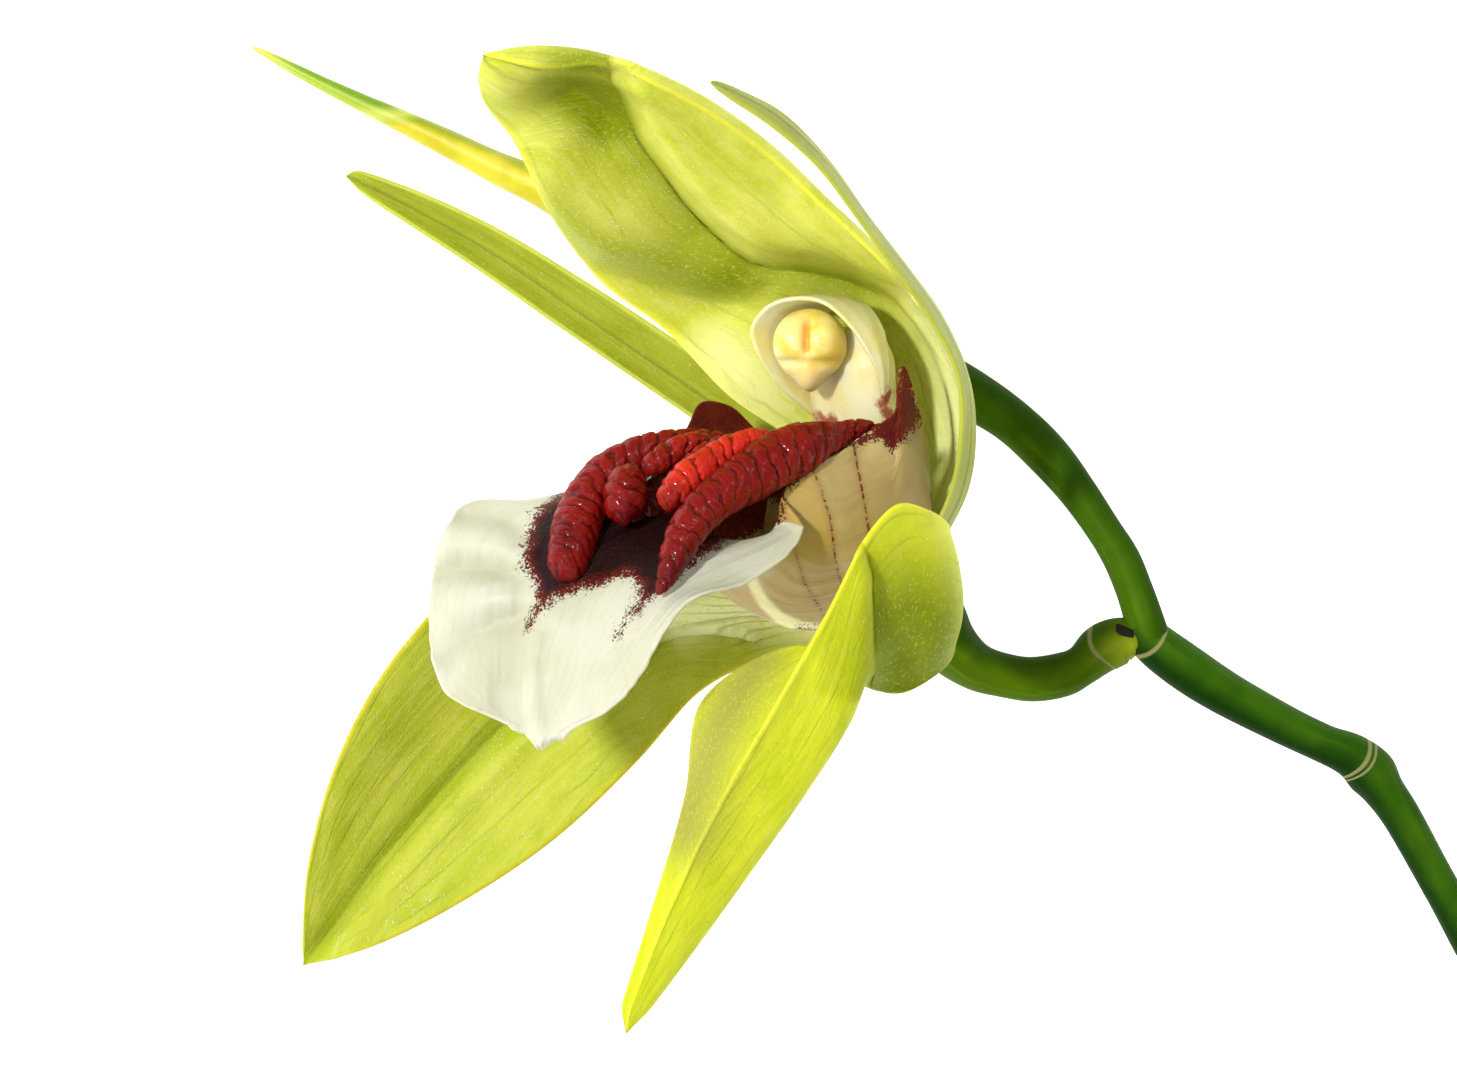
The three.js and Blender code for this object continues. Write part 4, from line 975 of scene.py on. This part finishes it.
addPiece("rachisStalk", stalkMesh("rachisStalk", rachis),
         stalkMaterial("rachisGreen", {
             **stalkColours, "body": (0.034, 0.105, 0.002), "deep": (0.018, 0.068, 0.001),
             "light": (0.060, 0.14, 0.004), "shade": (0.004, 0.026, 0.0005), "paintedSideShade": 0.95,
             "scars": [(1.5, 0.17), (14.9, 0.16), (15.25, 0.1)],
         }), "stem", "rachis")
addPiece("budStalk", stalkMesh("budStalk", budOvary),
         stalkMaterial("budStalkGreen", stalkColours), "ovary", "bud_ovary")
addPiece("flowerStalk", stalkMesh("flowerStalk", flowerOvary),
         stalkMaterial("flowerStalkGreen", {
             **stalkColours, "body": (0.065, 0.13, 0.001), "deep": (0.034, 0.085, 0.001),
             "light": (0.13, 0.22, 0.004), "start": (0.27, 0.33, 0.012), "startTo": 0.24,
             "scars": [(2.5, 0.16)],
         }), "ovary", "flower_ovary")

bud = {
    "inputs": {"Sides": 72, "Seams": 3.0, "Seam Depth": 0.00006, "Lump Size": 0.004, "Lump Depth": 0.0001},
    "stations": [
        [11.7, 9, 6, 1.9], [9.5, 10, 5.2, 2.4], [6.7, 11.2, 4.1, 3], [3.4, 12.8, 3.2, 3.35],
        [-0.5, 14.8, 2.9, 3.05], [-4.4, 16.7, 2.5, 2.3], [-9.9, 19.4, 2, 1.2], [-12.7, 20.6, 1.8, 0.95],
        [-15.5, 22, 1.5, 0.8], [-18.2, 23.3, 1.2, 0.64], [-21, 24.6, 0.95, 0.48],
        [-23.8, 26, 0.65, 0.34], [-25.6, 26.95, 0.42, 0.22], [-26.5, 27.4, 0.38, 0.09],
    ],
    # its midline in the photograph, and half its width there in pixels by share of the midline
    "middle": [
        (940, 378), (600, 235), (545, 195), (500, 169), (450, 146), (400, 121), (350, 97), (300, 71),
        (250, 46),
    ],
    "halfWidth": ([0, 0.45, 0.62, 0.8, 1.0], [50, 42, 19, 9, 3]),
}


def budMaterial(look):
    material, tree, shader = newMaterial("budYellow", look)
    share = field(tree, "share")
    upper = field(tree, "upper")
    where = millimetres(tree)
    cloud = noiseOf(where, 0.35, 3.0, 0.55)
    combed = vectorCalc("MULTIPLY", joinOf(tree, {0: share, 1: upper}), (6.0, 4.0, 0.0))
    streak = noiseOf(combed, 1.0, 3.0, 0.6)
    body = blend(between(cloud, 0.4, 0.65), look["yellow"], look["yellowDeep"])
    body = blend(between(cloud * 0.5 + upper, 0.45, 1.15, 0.0, 0.9), body, look["olive"])
    green = blend(between(upper + streak, 0.2, 1.2), look["lime"], look["green"])
    # the yellow starts below a slanting pale band
    slant = upper * 0.022 + share
    colour = blend(between(slant, 0.765, 0.80), body, green)
    band = between(slant, 0.775, 0.80) * between(slant, 0.80, 0.835, 1.0, 0.0)
    colour = blend(band * 0.85, colour, look["pale"])
    colour = blend(between(share, 0.92, 1.0), colour, look["pale"])
    finishMaterial(shader, colour, [(noiseOf(where, 6.0, 2.0, 0.6), 0.02)])
    return material


budLook = {
    "roughness": 0.4, "shine": 0.4, "glow": 0.4, "glowMm": 1.5, "glowColour": (1.0, 0.9, 0.2),
    "yellow": (0.62, 0.56, 0.035), "yellowDeep": (0.52, 0.46, 0.010), "olive": (0.26, 0.31, 0.010),
    "green": (0.16, 0.30, 0.008), "lime": (0.34, 0.45, 0.03), "pale": (0.52, 0.56, 0.10),
}
budMesh = meshAlong("budBody", bud["stations"], bud["inputs"])
beside, reached = besideLine(pixelsOf(pointsOf(budMesh)), bud["middle"])
setField(budMesh, "upper", np.clip(beside / np.interp(reached, *bud["halfWidth"]), -1, 1))
addPiece("budBody", budMesh, budMaterial(budLook), "bud", "bud")
print("stalks and bud made")

crest = {
    "inputs": {"Sides": 56, "Lump Size": 0.0018, "Lump Depth": 0.0003,
               "Wrinkle Pitch": 0.00095, "Wrinkle Depth": 0.00017, "Fine Depth": 0.00007},
    # each keel in photo pixels, with its height and radius in mm and how bright its red is; the brightest
    # keel's red is partly painted light
    "keels": [
        (0.45, [(884, 426, 19, 0.16), (862, 427.5, 19.5, 0.5), (840, 434, 20.3, 0.74), (820, 441, 21.2, 1.15),
                (797, 450, 22.1, 1.5), (769, 464, 23.1, 1.5), (746, 478, 24, 1.42), (727, 491, 24.8, 1.3),
                (709, 504, 25.5, 1.22), (694, 521, 26.2, 1.12), (682, 539, 26.8, 1.02), (673, 560, 27.3, 0.85),
                (664, 583, 27.7, 0.52), (657, 595, 27.85, 0.3)]),
        (1, [(772, 436, 21.2, 0.45), (745, 443, 22.2, 0.78), (720, 456, 23, 0.92), (704, 467, 23.7, 0.96),
               (689, 478, 24.3, 1), (677, 490, 24.8, 0.96), (669, 503, 25.1, 0.76), (667, 511, 25.2, 0.4)]),
        (0.6, [(748, 436, 21.4, 0.3), (715, 446, 22, 0.44), (692, 461, 22.7, 0.46), (676, 475, 23.2, 0.38)]),
        (0.7, [(710, 437, 20.4, 0.4), (684, 446, 21.1, 0.68), (664, 457, 21.7, 0.74), (650, 468, 22, 0.62),
               (644, 476, 22.1, 0.3)]),
        (0.45, [(635, 466, 21.4, 0.6), (629, 480, 21.9, 1.08), (625, 497, 22.4, 1.24), (623, 512, 22.8, 0.95),
                (626, 525, 23.1, 0.42)]),
        (0.5, [(735, 439, 18.4, 0.3), (700, 439, 18.8, 0.55), (668, 443, 19.2, 0.78), (642, 452, 19.6, 0.98),
               (618, 466, 20, 1.14), (598, 484, 20.6, 1.25), (584, 506, 21.5, 1.32), (575, 531, 22.4, 1.34),
               (570, 553, 23.1, 1.27), (563, 571, 23.6, 1), (558, 581, 23.8, 0.5)]),
    ],
    "core": [
        [7.2, 4.8, 16.9, 0.9], [4.8, 4.5, 17.6, 1.4], [2.3, 4, 18.4, 1.7], [-0.5, 3.4, 19, 1.8],
        [-3.2, 2.5, 19.6, 1.5], [-4.9, 1.4, 20.3, 1.1], [-6, 0.3, 20.8, 0.8],
    ],
}


def joined(name, meshes):
    # one mesh of several, with what their attributes say
    points, faces, start = [], [], 0
    fields = {"creaseAndPaintedShade": [], "share": [], "tone": []}
    for mesh in meshes:
        points.append(pointsOf(mesh))
        faces += [[v + start for v in polygon.vertices] for polygon in mesh.polygons]
        for key, parts in fields.items():
            values = np.zeros(len(mesh.vertices), np.float32)
            mesh.attributes[key].data.foreach_get("value", values)
            parts.append(values)
        start += len(mesh.vertices)
    fields = {key: np.concatenate(parts) for key, parts in fields.items()}
    return meshFrom(name, np.concatenate(points), faces, fields)


def crestMaterial(look):
    material, tree, shader = newMaterial("crestCrimson", look)
    where = millimetres(tree)
    tone = field(tree, "tone") + (noiseOf(where, 0.5, 3.0, 0.6) - 0.5)
    tone = tone - between(field(tree, "share"), 0.65, 1.0, 0.0, 0.3)
    colour = blend(between(tone, 0.0, 0.5), look["deep"], look["red"])
    colour = blend(between(tone, 0.55, 1.1), colour, look["bright"])
    # painted shade in the wrinkles' creases
    colour = blend(between(field(tree, "creaseAndPaintedShade"), 0.3, 1.0, 0.0, 0.65), colour, look["dark"])
    pores = noiseOf(where, 3.5, 3.0, 0.65)
    finishMaterial(shader, colour, [(pores, 0.12), (noiseOf(where, 11.0), 0.02)])
    return material


crestLook = {
    "roughness": 0.4, "shine": 0.06, "glow": 0.15, "glowMm": 0.3, "glowColour": (1.0, 0.12, 0.06),
    "coat": 0.22, "coatRough": 0.12,
    "bright": (0.62, 0.024, 0.010), "red": (0.21, 0.006, 0.004), "deep": (0.09, 0.002, 0.002),
    "dark": (0.02, 0.001, 0.001),
}


def keelMesh(name, stations, inputs, tone):
    mesh = meshAlong(name, stations, inputs, stepMm=0.09, endMm=0.7)
    setField(mesh, "tone", np.full(len(mesh.vertices), tone))
    return mesh


crestMeshes = [
    keelMesh("keel%d" % k, fromPhoto(stations), {**crest["inputs"], "Seed": 0.013 * (k + 1)}, tone)
    for k, (tone, stations) in enumerate(crest["keels"])
]
crestMeshes.append(keelMesh("keelCore", crest["core"], {**crest["inputs"], "Sides": 32}, 0.0))
addPiece("lipKeels", joined("lipKeels", crestMeshes), crestMaterial(crestLook), "crest", "lip_crest")
print("keels made")


# Column and anther cap

column = {
    "stations": [  # centre, half width, half depth
        [8.8, -1.2, 12.7, 1.1, 1.1], [8.3, 1.3, 12.9, 1.8, 1.3], [7.6, 4.3, 13.3, 2.6, 1.5],
        [6.95, 7.1, 13.7, 3.2, 1.7], [6.8, 9.5, 14, 3.2, 1.8], [6.7, 11.7, 14.2, 2.4, 1.1],
    ],
    "sideways": (0.6, 0.0, 0.8), "rings": 60, "sides": 48,
    "hood": {
        "thickMm": 0.5, "marginMm": 0.25, "taperMm": 1.0, "rows": 90, "columns": 30, "thinTip": False,
        "rails": [
            [[4.7, 6.9, 12.8], [4.3, 9.1, 12.3], [4.5, 11.1, 12.1], [5.4, 12.5, 12.8], [6.5, 13.2, 14.1],
             [7.6, 12.9, 15.4], [8.5, 11.5, 16.3], [8.8, 9.3, 16.6], [8.6, 6.9, 16.1]],
            [[2.7, 8.6, 13.6], [1.6, 10.4, 14.3], [1.3, 11.6, 14.5], [2.1, 12.8, 15.1], [3.5, 13.3, 16],
             [5.2, 13.1, 17], [6.7, 11.8, 17.7], [7.8, 10.1, 17.5], [8.6, 8.2, 16.4]],
        ],
    },
}


def columnBody():
    stations = np.asarray(column["stations"])
    at = np.linspace(0, 1, column["rings"])
    path = curveThrough(stations[:, :3], at)
    sizes = curveThrough(np.concatenate([stations[:, 3:], np.zeros((len(stations), 1))], 1), at)
    sideways = np.array(column["sideways"])
    forward = unit(np.cross(np.gradient(path, axis=0), sideways))
    angle = np.linspace(0, 2 * np.pi, column["sides"], endpoint=False)
    rings = path[:, None] + np.cos(angle)[None, :, None] * sideways * sizes[:, None, :1]
    return rings + np.sin(angle)[None, :, None] * forward[:, None] * sizes[:, None, 1:2]


def tubeFaces(rings, sides):
    faces = []
    for i in range(rings - 1):
        for j in range(sides):
            after = (j + 1) % sides
            faces.append([i * sides + j, i * sides + after, (i + 1) * sides + after, (i + 1) * sides + j])
    last = (rings - 1) * sides
    return faces + [list(range(sides - 1, -1, -1)), [last + j for j in range(sides)]]


def columnMaterial(look):
    material, tree, shader = newMaterial("columnCream", look)
    where = millimetres(tree)
    colour = blend(between(noiseOf(where, 0.4, 3.0), 0.4, 0.65), look["cream"], look["yellow"])
    ragged = noiseOf(where, 1.6, 3.0, 0.6) * 1.2 - 0.6
    inside = between(field(tree, "stain") + ragged, -0.1, 0.3)
    colour = blend(inside * 0.9, colour, look["stain"])
    finishMaterial(shader, colour, [(noiseOf(where, 5.0), 0.02)])
    return material


columnLook = {
    "roughness": 0.42, "shine": 0.4, "glow": 0.5, "glowMm": 1.5, "glowColour": (1.0, 0.85, 0.4),
    "cream": (0.72, 0.69, 0.42), "yellow": (0.72, 0.62, 0.26), "stain": (0.30, 0.03, 0.004),
    "marks": [[(890, 392), (882, 405), (890, 420)], [(820, 418), (832, 419)]], "markPixels": 7,
}


def columnStain(points):
    places = pixelsOf(points)
    near = [np.abs(besideLine(places, line)[0]) for line in columnLook["marks"]]
    return (columnLook["markPixels"] - np.minimum.reduce(near)) / photo["pixelsPerMm"]


columnRings = columnBody()
creamMaterial = columnMaterial(columnLook)
bodyPoints = columnRings.reshape(-1, 3)
bodyMesh = meshFrom("columnBody", bodyPoints, tubeFaces(*columnRings.shape[:2]),
                    {"stain": columnStain(bodyPoints)})
addPiece("columnBody", bodyMesh, creamMaterial, "column", "column")
hoodGrid = netThrough(column["hood"]["rails"], column["hood"]["rows"], column["hood"]["columns"])
hoodMesh = bladeMesh("columnHood", hoodGrid, column["hood"], {"stain": columnStain(hoodGrid)})
addPiece("columnHood", hoodMesh, creamMaterial, "column", "column")

antherCap = {
    "centre": (4.5, 10.75, 16.4), "half": (2.05, 2.0, 1.8), "rows": 60, "columns": 96,
    # which way its breadth, its top and its front point
    "ways": ((0.99, 0, 0.14), (0, 1.0, 0), (-0.14, 0, 0.99)),
}


def antherMesh():
    tilt, turn = np.meshgrid(np.linspace(0, np.pi, antherCap["rows"]),
                             np.linspace(0, 2 * np.pi, antherCap["columns"], endpoint=False), indexing="ij")
    a, u, f = np.sin(tilt) * np.cos(turn), np.cos(tilt), np.sin(tilt) * np.sin(turn)
    size = np.ones_like(a)
    # two swollen lobes with a cleft between them, and a beak below
    front = smooth(f, -0.2, 0.5)
    for side in (-1, 1):
        size += 0.13 * front * np.exp(-(((a - side * 0.52) / 0.32) ** 2 + ((u - 0.25) / 0.5) ** 2))
    cleft = np.exp(-((a / 0.13) ** 2)) * front * smooth(u, -0.45, -0.05) * (1 - smooth(u, 0.5, 0.95))
    size -= 0.2 * cleft
    size -= 0.12 * np.exp(-(((u + 0.5) / 0.14) ** 2)) * front * (1 - np.exp(-((a / 0.3) ** 2)) * 0.4)
    size += 0.3 * np.exp(-((a / 0.3) ** 2)) * smooth(-u, 0.6, 1.0)
    reach = np.stack([a, u, f], -1) * size[..., None] * np.array(antherCap["half"])
    points = np.array(antherCap["centre"]) + reach @ np.array(antherCap["ways"])
    faces = tubeFaces(antherCap["rows"], antherCap["columns"])
    return meshFrom("antherCapBody", points.reshape(-1, 3), faces, {
        "cleft": cleft.reshape(-1), "up": u.reshape(-1), "right": a.reshape(-1),
    })


def antherMaterial(look):
    material, tree, shader = newMaterial("antherGold", look)
    where = millimetres(tree)
    colour = blend(between(noiseOf(where, 0.7, 3.0), 0.4, 0.62), look["pale"], look["gold"])
    # painted shade: the cap turns a deeper gold towards its right side
    colour = blend(between(field(tree, "right"), 0.3, 0.95, 0.0, 0.6), colour, look["gold"])
    colour = blend(between(field(tree, "up"), -0.5, -0.8, 0.0, 0.6), colour, look["beak"])
    colour = blend(between(field(tree, "cleft"), 0.1, 0.9, 0.0, 0.9), colour, look["orange"])
    finishMaterial(shader, colour, [(noiseOf(where, 6.0), 0.015)])
    return material


antherLook = {
    "roughness": 0.35, "shine": 0.45, "glow": 0.5, "glowMm": 1.0, "glowColour": (1.0, 0.7, 0.2),
    "pale": (0.82, 0.72, 0.28), "gold": (0.80, 0.56, 0.08), "orange": (0.78, 0.34, 0.02),
    "beak": (0.80, 0.60, 0.30),
}
addPiece("antherCapBody", antherMesh(), antherMaterial(antherLook), "anther", "anther_cap")
print("column made")


# Floor, light and camera

studio = {
    "floorMetres": 3.0, "floorGlow": 0.7, "skyStrength": 0.3,
    "keyStrength": 3.05, "keyAngle": 6.0, "keyFrom": (-0.55, 0.23, 1.0),
    "fillStrength": 0.7, "fillAngle": 50.0, "fillFrom": (-0.1, -0.4, 1.0),
    "rimStrength": 0.5, "rimAngle": 20.0, "rimFrom": (0.6, 0.6, 0.8),
    "sideStrength": 0.75, "sideAngle": 60.0, "sideFrom": (-1.0, -0.3, 0.45),
}


def floorPiece():
    half = studio["floorMetres"] / 2
    mesh = bpy.data.meshes.new("floorSheet")
    corners = [(-half, -half, 0), (half, -half, 0), (half, half, 0), (-half, half, 0)]
    mesh.from_pydata(corners, [], [(0, 1, 2, 3)])
    material = bpy.data.materials.new("floorWhite")
    material.use_nodes = True
    shader = material.node_tree.nodes["Principled BSDF"]
    shader.inputs["Base Color"].default_value = (0.9, 0.9, 0.9, 1)
    shader.inputs["Roughness"].default_value = 0.8
    shader.inputs["Emission Color"].default_value = (1, 1, 1, 1)
    shader.inputs["Emission Strength"].default_value = studio["floorGlow"]
    mesh.materials.append(material)
    floor = bpy.data.objects.new("floorSheet", mesh)
    floor.location.z = -0.0001
    bpy.context.scene.collection.objects.link(floor)


def addLamp(name, strength, direction, angle):
    lamp = bpy.data.lights.new(name, "SUN")
    lamp.energy = strength
    lamp.angle = math.radians(angle)
    holder = bpy.data.objects.new(name, lamp)
    x, y, z = direction
    holder.rotation_euler = (0, math.atan2(math.hypot(x, y), z), math.atan2(y, x))
    bpy.context.scene.collection.objects.link(holder)


floorPiece()
for lamp in ("key", "fill", "rim", "side"):
    addLamp(lamp + "Lamp", studio[lamp + "Strength"], studio[lamp + "From"], studio[lamp + "Angle"])
world = bpy.data.worlds.new("softRoom")
bpy.context.scene.world = world
world.use_nodes = True
sky = world.node_tree.nodes["Background"]
sky.inputs["Color"].default_value = (1, 1, 1, 1)
sky.inputs["Strength"].default_value = studio["skyStrength"]
bpy.context.scene.view_settings.view_transform = "Standard"

lens = bpy.data.cameras.new("photoCamera")
lens.sensor_width = 36.0
lens.lens = lens.sensor_width * photo["cameraMm"] * photo["pixelsPerMm"] / photo["wide"]
lens.clip_start, lens.clip_end = 0.1, 10.0
camera = bpy.data.objects.new("photoCamera", lens)
camera.location = (-stemMiddle[0] / 1000, -stemMiddle[1] / 1000, photo["cameraMm"] / 1000)
bpy.context.scene.collection.objects.link(camera)
bpy.context.scene.camera = camera
print("stage set")
